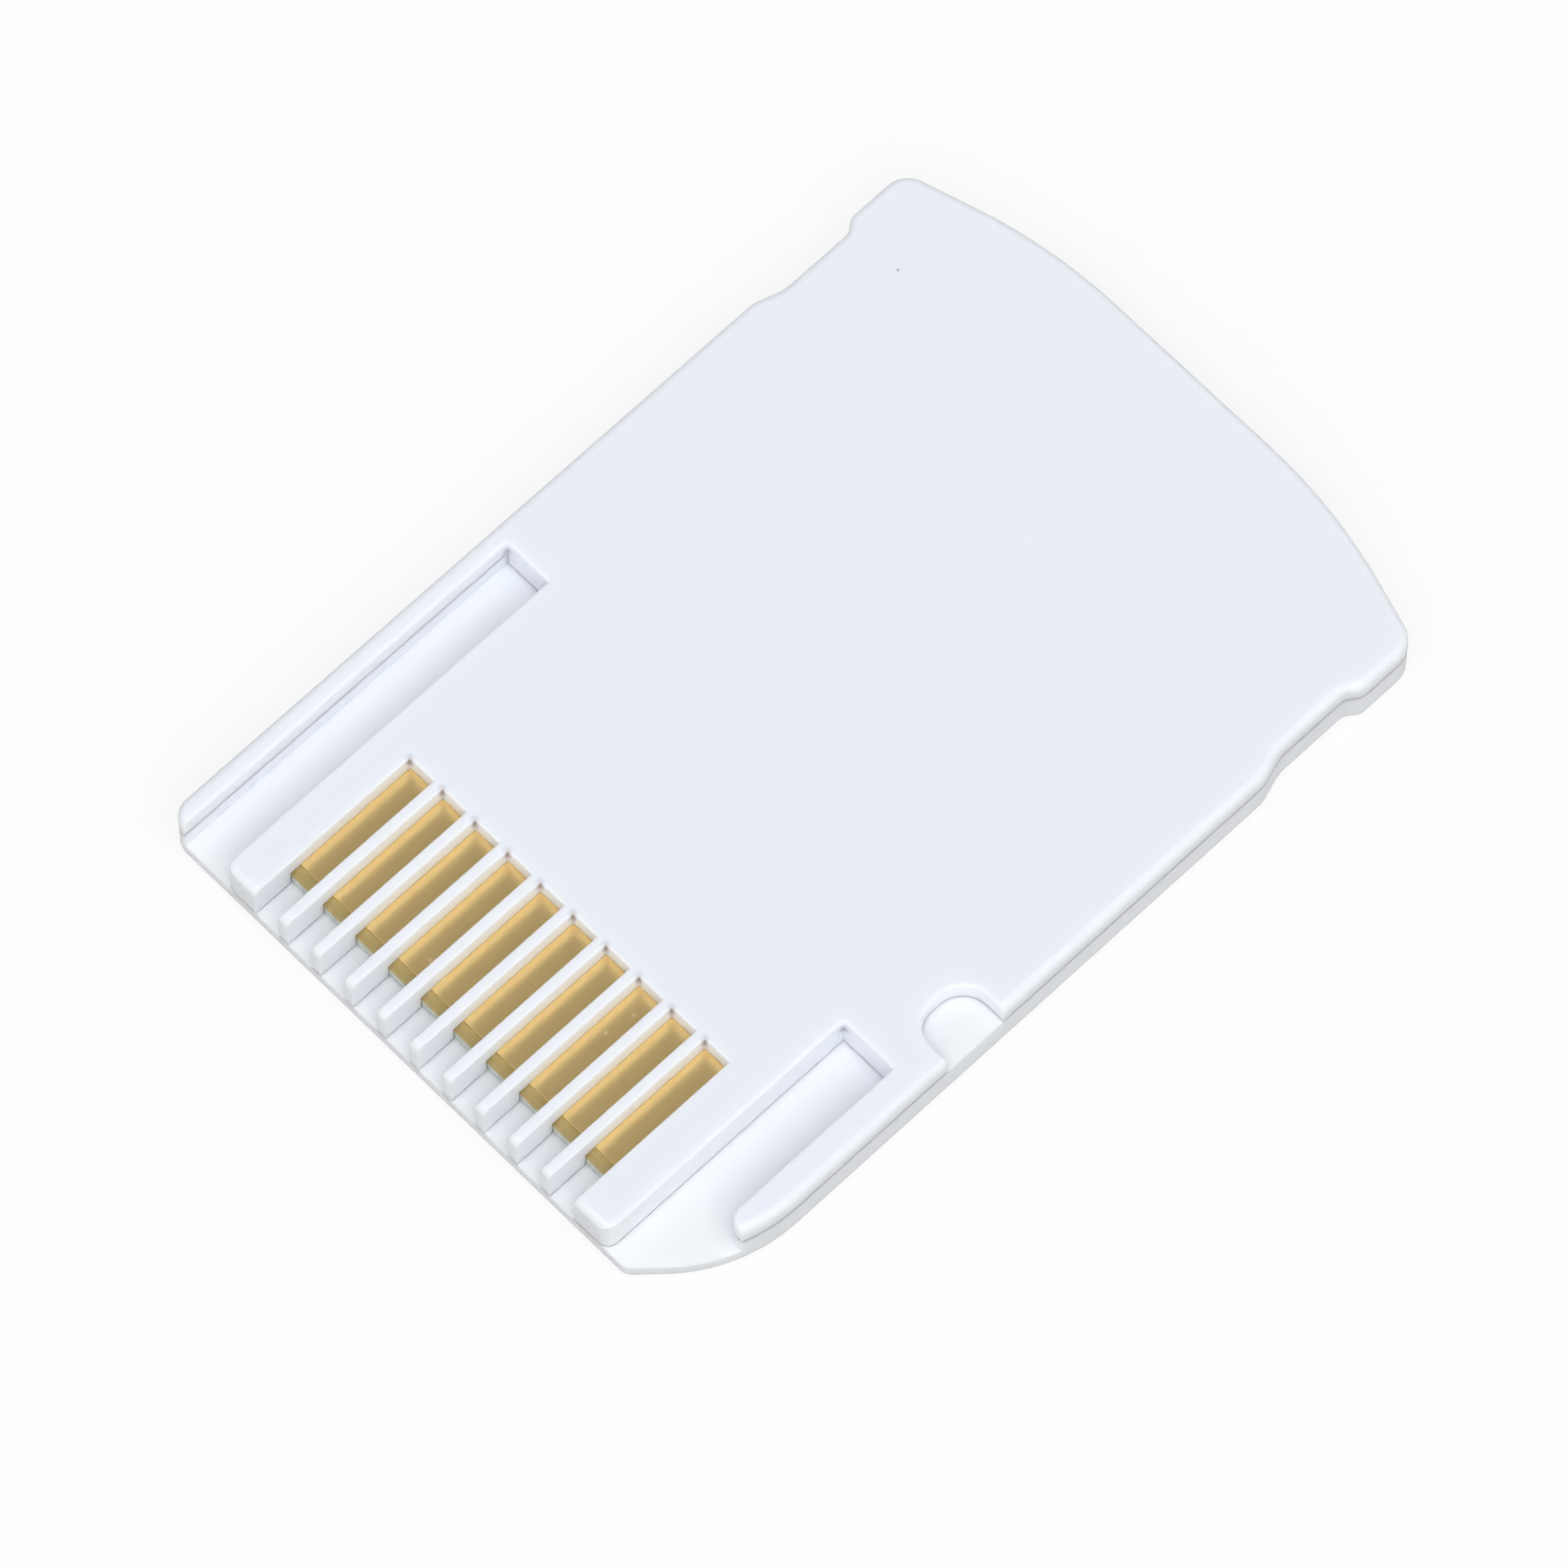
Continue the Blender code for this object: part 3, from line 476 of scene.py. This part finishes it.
def makeMouldedLcp():
    # glass-filled liquid-crystal polymer: near black, with short fibres drawn along the flow
    material, tree, shader, place = newMaterial("mouldedBlackLcp")
    fibres = makeNoise(tree, place, lcpLook["fibreSize"], lcpLook["fibreDetail"])
    setShader(tree, shader, IOR=lcpLook["refraction"],
              Base_Color=mixColours(tree, fibres, lcpLook["colour"], lcpLook["fibre"]),
              Roughness=changeRange(tree, fibres, lcpLook["roughness"]))
    return material


steelLook = {
    "bright": "C9C9C7",
    "dull": "B4B4B2",
    "grainSize": (0.02 * mm, 1.2 * mm, 0.02 * mm),
    "roughness": (0.22, 0.36),
}
bronzeLook = {
    "bright": "E2B96C",
    "dull": "C99B50",
    "grainSize": (0.02 * mm, 0.8 * mm, 0.02 * mm),
    "roughness": (0.2, 0.34),
}
rolling = {"detail": 4.0, "roughness": 0.6, "depth": 0.0006 * mm}


def makeRolledMetal(name, look):
    # rolled strip: the rolling grain runs along the strip and spreads its highlight
    material, tree, shader, place = newMaterial(name)
    grain = makeNoise(tree, place, look["grainSize"], rolling["detail"], rolling["roughness"])
    setShader(tree, shader, Metallic=1.0,
              Base_Color=mixColours(tree, grain, look["bright"], look["dull"]),
              Roughness=changeRange(tree, grain, look["roughness"]),
              Normal=makeRelief(tree, grain, rolling["depth"]))
    return material


mouldedAbs = makeMouldedAbs()
goldPlating = makeGoldPlating()
laminate = makeLaminate()
mouldedLcp = makeMouldedLcp()
rolledSteel = makeRolledMetal("rolledStainlessSteel", steelLook)
bronzeStrip = makeRolledMetal("goldFlashedBronze", bronzeLook)
print("materials made")


# Shells

shell = {
    "bowFlat": 6.6 * mm,
    "bowRadius": 18.5 * mm,
    "bowAngle": math.radians(17),
    "bowCorner": 0.9 * mm,
    "contactCorner": 0.7 * mm,
    "chamferFoot": 2.36 * mm,
    "chamferAngle": math.radians(47),
    "chamferBlend": 5.8 * mm,
    "chamferFootRadius": 0.5 * mm,
    "contactFaceRounding": 0.3 * mm,
    "labelFaceRounding": 0.18 * mm,
    "gripStart": 3.75 * mm,          # from the bowed end
    "gripLength": 4.15 * mm,
    "gripDepth": 0.33 * mm,
    "gripStep": 0.4 * mm,
    "gripRamp": 1.0 * mm,
    "gripStepRadius": 0.5 * mm,
    "gripRampRadius": 1.5 * mm,
    "rimWall": 1.0 * mm,
    "leftLip": 0.66 * mm,
    "skirtWall": 0.42 * mm,
    "fitGap": 0.04 * mm,
    "leftRecess": (1.78 * mm, 13.37 * mm),      # width, and length from the contact end
    "rightRecess": (2.09 * mm, 9.74 * mm),
    "rightLipSetback": 2.87 * mm,
    "rightLipRadius": 0.5 * mm,
    "pocketStart": 11.05 * mm,
    "pocketLength": 2.32 * mm,
    "pocketDepth": 1.71 * mm,
    "pocketRadius": 1.0 * mm,
    "pocketLedge": 0.5 * mm,
    "recessEdge": 0.12 * mm,         # rounding of the edges around the recesses
    "recessCorner": 0.1 * mm,
    "blockCorner": 0.45 * mm,        # upright rounding of the contact block's front corners
    "blockCornerClear": 0.01 * mm,   # the arc starts this far outside the contact end
    "floorHeight": 0.65 * mm,
    "seatGap": 0.002 * mm,           # the skirt all but touches the floor
    "hollowCeiling": 1.68 * mm,      # over the board's parts
}
blockLeft = left + shell["leftLip"] + shell["leftRecess"][0]
blockRight = right - shell["rimWall"] - shell["rightRecess"][0]
leftRecessEnd = contactEnd + shell["leftRecess"][1]
rightRecessEnd = contactEnd + shell["rightRecess"][1]
rightLipEnd = contactEnd + shell["rightLipSetback"]
pocketLow = contactEnd + shell["pocketStart"]
pocketHigh = pocketLow + shell["pocketLength"]
pocketLeft = right - shell["pocketDepth"]
bowSlope = shell["bowFlat"] / 2 + shell["bowRadius"] * math.tan(shell["bowAngle"] / 2)


def bowAt(x, inset=0.0):
    # y of the bowed end's straight slope at x, moved in by a wall
    slope = shell["bowAngle"]
    return bowedEnd - (abs(x) - bowSlope) * math.tan(slope) - inset / math.cos(slope)


def cardOutline():
    gripHigh = bowedEnd - shell["gripStart"]
    gripLow = gripHigh - shell["gripLength"]
    gripSide = right - shell["gripDepth"]
    side = [
        (right, gripLow, shell["gripRampRadius"]),
        (gripSide, gripLow + shell["gripRamp"], shell["gripRampRadius"]),
        (gripSide, gripHigh - shell["gripStep"], shell["gripStepRadius"]),
        (right, gripHigh, shell["gripStepRadius"]),
        (right, bowAt(right), shell["bowCorner"]),
        (bowSlope, bowedEnd, shell["bowRadius"]),
    ]
    rise = shell["chamferFoot"] * math.tan(shell["chamferAngle"])
    contactCorners = [
        (left, contactEnd, shell["contactCorner"]),
        (right - shell["chamferFoot"], contactEnd, shell["chamferFootRadius"]),
        (right, contactEnd + rise, shell["chamferBlend"]),
    ]
    return roundedOutline(contactCorners + side + mirrored(side))


def leftRecessOutline():
    # a strip outside the contact end leads into the arc that rounds the block's corner
    lip = left + shell["leftLip"]
    corner = shell["recessCorner"]
    past = blockLeft + 2 * shell["blockCorner"]
    front = contactEnd - shell["blockCornerClear"]
    return roundedOutline([
        (lip, contactEnd - overcut, 0),
        (past, contactEnd - overcut, 0),
        (past, front, 0),
        (blockLeft, front, shell["blockCorner"]),
        (blockLeft, leftRecessEnd, corner),
        (lip, leftRecessEnd, corner),
    ])


def rightRecessOutline():
    # the lip stops short of the contact end, and the recess runs out through the chamfer
    lip = right - shell["rimWall"]
    corner = shell["recessCorner"]
    past = blockRight - 2 * shell["blockCorner"]
    front = contactEnd - shell["blockCornerClear"]
    return roundedOutline([
        (past, contactEnd - overcut, 0),
        (right + overcut, contactEnd - overcut, 0),
        (right + overcut, rightLipEnd, 0),
        (lip, rightLipEnd, shell["rightLipRadius"]),
        (lip, rightRecessEnd, corner),
        (blockRight, rightRecessEnd, corner),
        (blockRight, front, shell["blockCorner"]),
        (past, front, 0),
    ])


def pocketOutline():
    return roundedOutline([
        (pocketLeft, pocketLow, shell["pocketRadius"]),
        (right + overcut, pocketLow, 0),
        (right + overcut, pocketHigh, 0),
        (pocketLeft, pocketHigh, shell["pocketRadius"]),
    ])


def skirtSurroundOutline():
    # everything outside the contact block and the end walls of the recesses
    lip = left + shell["leftLip"] + shell["fitGap"]
    rim = right - shell["rimWall"] - shell["fitGap"]
    wall = shell["skirtWall"]
    boardFront = boardLow.y - shell["fitGap"]
    return roundedOutline([
        (left - overcut, contactEnd - overcut, 0),
        (blockLeft, contactEnd - overcut, 0),
        (blockLeft, leftRecessEnd, 0),
        (lip, leftRecessEnd, 0),
        (lip, leftRecessEnd + wall, 0),
        (blockLeft + wall, leftRecessEnd + wall, 0),
        (blockLeft + wall, boardFront, 0),
        (blockRight - wall, boardFront, 0),
        (blockRight - wall, rightRecessEnd + wall, 0),
        (rim, rightRecessEnd + wall, 0),
        (rim, rightRecessEnd, 0),
        (blockRight, rightRecessEnd, 0),
        (blockRight, contactEnd - overcut, 0),
        (right + overcut, contactEnd - overcut, 0),
        (right + overcut, bowedEnd + overcut, 0),
        (left - overcut, bowedEnd + overcut, 0),
    ])


# Contact slots and pads, each a row that one node tree repeats

def makeRowTree():
    # repeats the incoming mesh along X and hands on one plain mesh
    tree = bpy.data.node_groups.new("evenRow", "GeometryNodeTree")
    sockets = {}
    for name, kind in (("Geometry", "Geometry"), ("Count", "Int"), ("Pitch", "Float"),
                       ("Material", "Material")):
        sockets[name] = tree.interface.new_socket(
            name=name, in_out="INPUT", socket_type="NodeSocket" + kind).identifier
    tree.interface.new_socket(name="Geometry", in_out="OUTPUT", socket_type="NodeSocketGeometry")
    given = addNode(tree, "NodeGroupInput").outputs
    step = addNode(tree, "ShaderNodeCombineXYZ", {"X": given["Pitch"]})
    line = addNode(tree, "GeometryNodeMeshLine", {
        "Count": given["Count"], "Offset": step.outputs["Vector"]}, mode="OFFSET")
    copies = addNode(tree, "GeometryNodeInstanceOnPoints", {
        "Points": line.outputs["Mesh"], "Instance": given["Geometry"]})
    plain = addNode(tree, "GeometryNodeRealizeInstances", {"Geometry": copies.outputs["Instances"]})
    coated = addNode(tree, "GeometryNodeSetMaterial", {
        "Geometry": plain.outputs["Geometry"], "Material": given["Material"]})
    addNode(tree, "NodeGroupOutput", {"Geometry": coated.outputs["Geometry"]})
    return tree, sockets


rowTree, rowSockets = makeRowTree()


def repeatAlongRow(piece, count, pitch, material):
    row = piece.modifiers.new("evenRow", "NODES")
    row.node_group = rowTree
    row[rowSockets["Count"]] = count
    row[rowSockets["Pitch"]] = pitch
    row[rowSockets["Material"]] = material
    applyModifiers(piece)
    return piece


def makeSlotTools():
    middle = (firstPadLow.x + firstPadHigh.x) / 2
    half = contactRow["slotWidth"] / 2
    farEnd = contactEnd + contactRow["slotLength"]
    points = roundedOutline([
        (middle - half, contactEnd - overcut, 0),
        (middle + half, contactEnd - overcut, 0),
        (middle + half, farEnd, contactRow["slotCorner"]),
        (middle - half, farEnd, contactRow["slotCorner"]),
    ])
    tool = flaredTool("contactSlots", points, 0, top, contactRow["slotEdge"])
    return repeatAlongRow(tool, contactRow["count"], contactRow["pitch"], mouldedAbs)


def makeContactPads():
    corner = contactRow["padCorner"]
    points = roundedOutline([
        (firstPadLow.x, firstPadLow.y, corner),
        (firstPadHigh.x, firstPadLow.y, corner),
        (firstPadHigh.x, firstPadHigh.y, corner),
        (firstPadLow.x, firstPadHigh.y, corner),
    ])
    pad = roundedPlate("contactPads", points, firstPadLow.z, firstPadHigh.z,
                       highRounding=contactRow["padEdge"], steps=3)
    repeatAlongRow(pad, contactRow["count"], contactRow["pitch"], goldPlating)
    smoothPiece(pad)
    dress(pad, goldPlating, padNodes)
    return pad


def makeBackShell():
    seat = shell["floorHeight"] + shell["seatGap"]
    piece = roundedPlate("backShell", cardOutline(), seat, top,
                         highRounding=shell["contactFaceRounding"])
    edge = shell["recessEdge"]
    surround = skirtSurroundOutline()
    hollowStart = contactEnd + contactRow["slotLength"] + shell["skirtWall"]
    hollow = roundedOutline([
        (boardLow.x, hollowStart, 0),
        (boardHigh.x, hollowStart, 0),
        (boardHigh.x, boardHigh.y, 0),
        (boardLow.x, boardHigh.y, 0),
    ])
    carve(piece, [
        ringSolid("skirtSurround", [(surround, -overcut), (surround, parting)]),
        ringSolid("partsHollow", [(hollow, parting - overcut), (hollow, shell["hollowCeiling"])]),
        flaredTool("leftRecess", leftRecessOutline(), -overcut, top, edge),
        flaredTool("rightRecess", rightRecessOutline(), -overcut, top, edge),
        flaredTool("sidePocket", pocketOutline(), 0, top, edge),
        makeSlotTools(),
    ])
    smoothPiece(piece)
    dress(piece, mouldedAbs, ["back_cover"])
    return piece


window = {
    "channelWidth": 11.5 * mm,
    "channelFlare": 0.7 * mm,
    "channelWall": 0.8 * mm,
    "wallSetback": 0.4 * mm,
    "socketWidth": 12.62 * mm,
    "socketStart": 7.71 * mm,        # from the contact end
    "socketLength": 11.93 * mm,
    "corner": 0.1 * mm,
    "mouthCorner": 0.6 * mm,
    "edge": 0.08 * mm,
}
socketEnd = contactEnd + window["socketStart"]
socketMouth = socketEnd + window["socketLength"]


def windowOutline():
    # the steel fills the wide part, and the card slides in the narrow one
    socketHalf = window["socketWidth"] / 2
    channelHalf = window["channelWidth"] / 2
    flare = window["channelFlare"]
    corner = window["corner"]
    half = [
        (socketHalf, socketEnd, corner),
        (socketHalf, socketMouth, corner),
        (channelHalf, socketMouth, corner),
        (channelHalf, bowedEnd - 2 * flare, window["mouthCorner"]),
        (channelHalf + flare, bowedEnd, 0),
        (channelHalf + flare, bowedEnd + overcut, 0),
    ]
    return roundedOutline(half + mirrored(half))


def frontCavityOutline():
    # inside of the rim, which runs out at the contact end and past the right lip
    lip = left + shell["leftLip"]
    rimLeft = left + shell["rimWall"]
    rimRight = right - shell["rimWall"]
    wallOut = window["channelWidth"] / 2 + window["channelWall"]
    wallStart = socketMouth + window["wallSetback"]
    step = shell["skirtWall"] + shell["fitGap"]
    ledgeLeft = pocketLeft - shell["pocketLedge"]
    ledgeHigh = pocketHigh + shell["pocketLedge"]
    return roundedOutline([
        (lip, contactEnd - overcut, 0),
        (right + overcut, contactEnd - overcut, 0),
        (right + overcut, rightLipEnd, 0),
        (rimRight, rightLipEnd, shell["rightLipRadius"]),
        (rimRight, rightRecessEnd + step, 0),
        (ledgeLeft, rightRecessEnd + step, 0),
        (ledgeLeft, ledgeHigh, 0),
        (rimRight, ledgeHigh, 0),
        (rimRight, bowAt(rimRight, shell["rimWall"]), 0),
        (wallOut, bowAt(wallOut, shell["rimWall"]), 0),
        (wallOut, wallStart, 0),
        (-wallOut, wallStart, 0),
        (-wallOut, bowAt(wallOut, shell["rimWall"]), 0),
        (rimLeft, bowAt(rimLeft, shell["rimWall"]), 0),
        (rimLeft, leftRecessEnd + step, 0),
        (lip, leftRecessEnd + step, 0),
    ])


def makeFrontShell():
    piece = roundedPlate("frontShell", cardOutline(), 0, parting,
                         lowRounding=shell["labelFaceRounding"])
    cavity = frontCavityOutline()
    carve(piece, [
        ringSolid("frontCavity", [(cavity, shell["floorHeight"]), (cavity, top)]),
        flaredTool("cardWindow", windowOutline(), top, 0, window["edge"]),
    ])
    smoothPiece(piece)
    dress(piece, mouldedAbs, ["front_cover"])
    return piece


makeBackShell()
print("back shell made")
makeFrontShell()
print("front shell made")
makeContactPads()
print("contact pads made")


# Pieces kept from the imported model

finer = {
    "edge": 0.02 * mm,
    "segments": 2,
    "edgeAngle": math.radians(40),   # sharper edges than this are broken
    "flatAngle": math.radians(1),
    "mergeDistance": 0.0001 * mm,
}


def refinedCopy(nodeName, name, material):
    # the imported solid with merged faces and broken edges
    shape = bmesh.new()
    shape.from_mesh(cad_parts[nodeName].data)
    bmesh.ops.remove_doubles(shape, verts=shape.verts, dist=finer["mergeDistance"])
    bmesh.ops.dissolve_limit(
        shape, angle_limit=finer["flatAngle"], verts=shape.verts, edges=shape.edges)
    piece = meshPiece(name, shape)
    breaking = piece.modifiers.new("brokenEdges", "BEVEL")
    breaking.limit_method = "ANGLE"
    breaking.angle_limit = finer["edgeAngle"]
    breaking.width = finer["edge"]
    breaking.segments = finer["segments"]
    applyModifiers(piece)
    smoothPiece(piece)
    dress(piece, material, [nodeName])
    return piece


refinedCopy("circuit_board", "circuitBoard", laminate)
refinedCopy("socket_housing", "socketHousing", mouldedLcp)
refinedCopy("socket_shield", "socketShield", rolledSteel)
for nodeName in sorted(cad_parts):
    if nodeName.startswith("socket_contact_") or nodeName == "card_detect_spring":
        words = nodeName.split("_")
        newName = words[0] + "".join(word.capitalize() for word in words[1:])
        refinedCopy(nodeName, newName, bronzeStrip)
print("board and socket dressed")


# Small chips on the board, hidden under the back shell

chipLook = {
    "capacitor": ("9C7C58", 0.45),   # body colour and roughness
    "resistor": ("1B1C20", 0.3),
    "terminal": "C9C7C0",
    "terminalShare": 0.25,           # of the chip's length, at each end
}


def makeChipMaterial(kind, low, high):
    # fired ceramic with tinned ends
    bodyColour, roughness = chipLook[kind]
    material, tree, shader, place = newMaterial(kind + "Ceramic")
    middle = (low.y + high.y) / 2
    away = calculate(tree, "SUBTRACT", splitAxes(tree, place)["Y"], middle)
    bodyEnd = (high.y - low.y) * (0.5 - chipLook["terminalShare"])
    tinned = calculate(tree, "GREATER_THAN", calculate(tree, "ABSOLUTE", away), bodyEnd)
    setShader(tree, shader, Metallic=tinned, Roughness=roughness,
              Base_Color=mixColours(tree, tinned, bodyColour, chipLook["terminal"]))
    return material


for nodeName in sorted(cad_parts):
    kind = nodeName.split("_")[0]
    if kind in ("capacitor", "resistor"):
        chipLow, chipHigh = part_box(nodeName)
        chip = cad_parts[nodeName]
        for slot in chip.material_slots:
            slot.material = makeChipMaterial(kind, chipLow, chipHigh)
print("chips dressed")


# Stage, light and camera

stage = {
    "floorSize": 3.0,
    "floorDrop": 0.002 * mm,         # just clear of the label face
    "floorColour": "D8D8D8",         # as the camera sees it
    "bounceColour": "AAAAAC",        # as it lights the card's sides
    "backdropColour": "FEFEFE",
    "backdropStrength": 1.1,
    "backdropShare": 0.72,           # how much of the floor is plain backdrop to the camera
    "skyHigh": 0.82,                 # sky overhead
    "skyLow": 0.94,                  # sky near the horizon
    "skyHighFrom": 0.8,              # the sine of the elevation where overhead starts
    "skySeenFrom": 0.35,             # below it mirrors see plain white
    "cardShade": 0.43,               # dark card behind the object, which the gold mirrors
    "cardAzimuth": math.radians(226),
    "cardElevation": math.radians(66),
    "cardInner": math.radians(16),
    "cardOuter": math.radians(42),
    "keyStrength": 1.58,
    "keyAngle": math.radians(64),    # width of the soft key light
    "keyAzimuth": math.radians(57),  # 0 shines from -Y, 90 from +X
    "keyElevation": math.radians(63),
}


def directionTo(azimuth, elevation):
    # unit vector from the card towards a camera or lamp
    return Vector((
        math.sin(azimuth) * math.cos(elevation),
        -math.cos(azimuth) * math.cos(elevation),
        math.sin(elevation),
    ))


def seenRays(tree):
    # 1 for camera, mirror and glass rays, which see the plain background
    path = addNode(tree, "ShaderNodeLightPath").outputs
    mirrorOrGlass = calculate(tree, "MAXIMUM", path["Is Glossy Ray"], path["Is Transmission Ray"])
    return calculate(tree, "MAXIMUM", path["Is Camera Ray"], mirrorOrGlass)


def makeFloor():
    shape = bmesh.new()
    bmesh.ops.create_grid(shape, x_segments=1, y_segments=1, size=stage["floorSize"] / 2)
    floor = meshPiece("floor", shape)
    floor.data.transform(Matrix.Translation((0, 0, -stage["floorDrop"])))
    material = bpy.data.materials.new("paleStudioFloor")
    material.use_nodes = True
    tree = material.node_tree
    tree.nodes.clear()
    seen = seenRays(tree)
    paint = mixColours(tree, seen, stage["bounceColour"], stage["floorColour"])
    matt = addNode(tree, "ShaderNodeBsdfDiffuse", {"Color": paint})
    plain = addNode(tree, "ShaderNodeEmission", {
        "Color": hexColour(stage["backdropColour"]), "Strength": stage["backdropStrength"]})
    surface = addNode(tree, "ShaderNodeMixShader", {
        "Fac": calculate(tree, "MULTIPLY", seen, stage["backdropShare"]),
        1: matt.outputs["BSDF"], 2: plain.outputs["Emission"]})
    addNode(tree, "ShaderNodeOutputMaterial", {"Surface": surface.outputs["Shader"]})
    floor.data.materials.append(material)


def makeSky():
    world = bpy.data.worlds.new("studioSky")
    bpy.context.scene.world = world
    world.use_nodes = True
    tree = world.node_tree
    tree.nodes.clear()
    place = addNode(tree, "ShaderNodeTexCoord").outputs["Generated"]
    height = splitAxes(tree, place)["Z"]
    overhead = stage["skyHighFrom"]
    light = changeRange(tree, height, (stage["skyLow"], stage["skyHigh"]), (0.0, overhead))
    shown = changeRange(tree, height, (1.0, stage["skyHigh"]), (stage["skySeenFrom"], overhead))
    card = directionTo(stage["cardAzimuth"], stage["cardElevation"])
    facing = addNode(tree, "ShaderNodeVectorMath", {0: place, 1: card}, operation="DOT_PRODUCT")
    shade = changeRange(tree, facing.outputs["Value"], (1.0, stage["cardShade"]),
                        (math.cos(stage["cardOuter"]), math.cos(stage["cardInner"])))
    lighting, backdrop = (
        addNode(tree, "ShaderNodeBackground", {
            "Strength": calculate(tree, "MULTIPLY", sky, shade)}).outputs["Background"]
        for sky in (light, shown)
    )
    both = addNode(tree, "ShaderNodeMixShader", {
        "Fac": seenRays(tree), 1: lighting, 2: backdrop})
    addNode(tree, "ShaderNodeOutputWorld", {"Surface": both.outputs["Shader"]})


def makeKeyLight():
    lamp = bpy.data.lights.new("softKey", "SUN")
    lamp.energy = stage["keyStrength"]
    lamp.angle = stage["keyAngle"]
    key = bpy.data.objects.new("softKey", lamp)
    bpy.context.scene.collection.objects.link(key)
    towards = directionTo(stage["keyAzimuth"], stage["keyElevation"])
    key.rotation_mode = "QUATERNION"
    key.rotation_quaternion = towards.to_track_quat("Z", "Y")


view = {
    "azimuth": math.radians(45.84),
    "elevation": math.radians(66.25),
    "target": Vector((0.0644, 0.198, -0.179)) * mm,
    "distance": 421.3 * mm,
    "moveRight": -1.011 * mm,        # brings the card to its place in the picture
    "moveUp": -1.384 * mm,
    "sensor": 36.0,
    "lens": 321.43,
    "nearest": 0.01,
    "farthest": 10.0,
}


def makeCamera():
    data = bpy.data.cameras.new("camera")
    data.sensor_width = view["sensor"]
    data.lens = view["lens"]
    data.clip_start = view["nearest"]
    data.clip_end = view["farthest"]
    camera = bpy.data.objects.new("camera", data)
    bpy.context.scene.collection.objects.link(camera)
    back = directionTo(view["azimuth"], view["elevation"])
    turn = back.to_track_quat("Z", "Y")
    camera.rotation_mode = "QUATERNION"
    camera.rotation_quaternion = turn
    sideways = turn @ Vector((view["moveRight"], view["moveUp"], 0))
    camera.location = view["target"] + back * view["distance"] + sideways
    bpy.context.scene.camera = camera


makeFloor()
makeSky()
makeKeyLight()
makeCamera()
bpy.context.scene.view_settings.view_transform = "Standard"
print("stage, light and camera set")
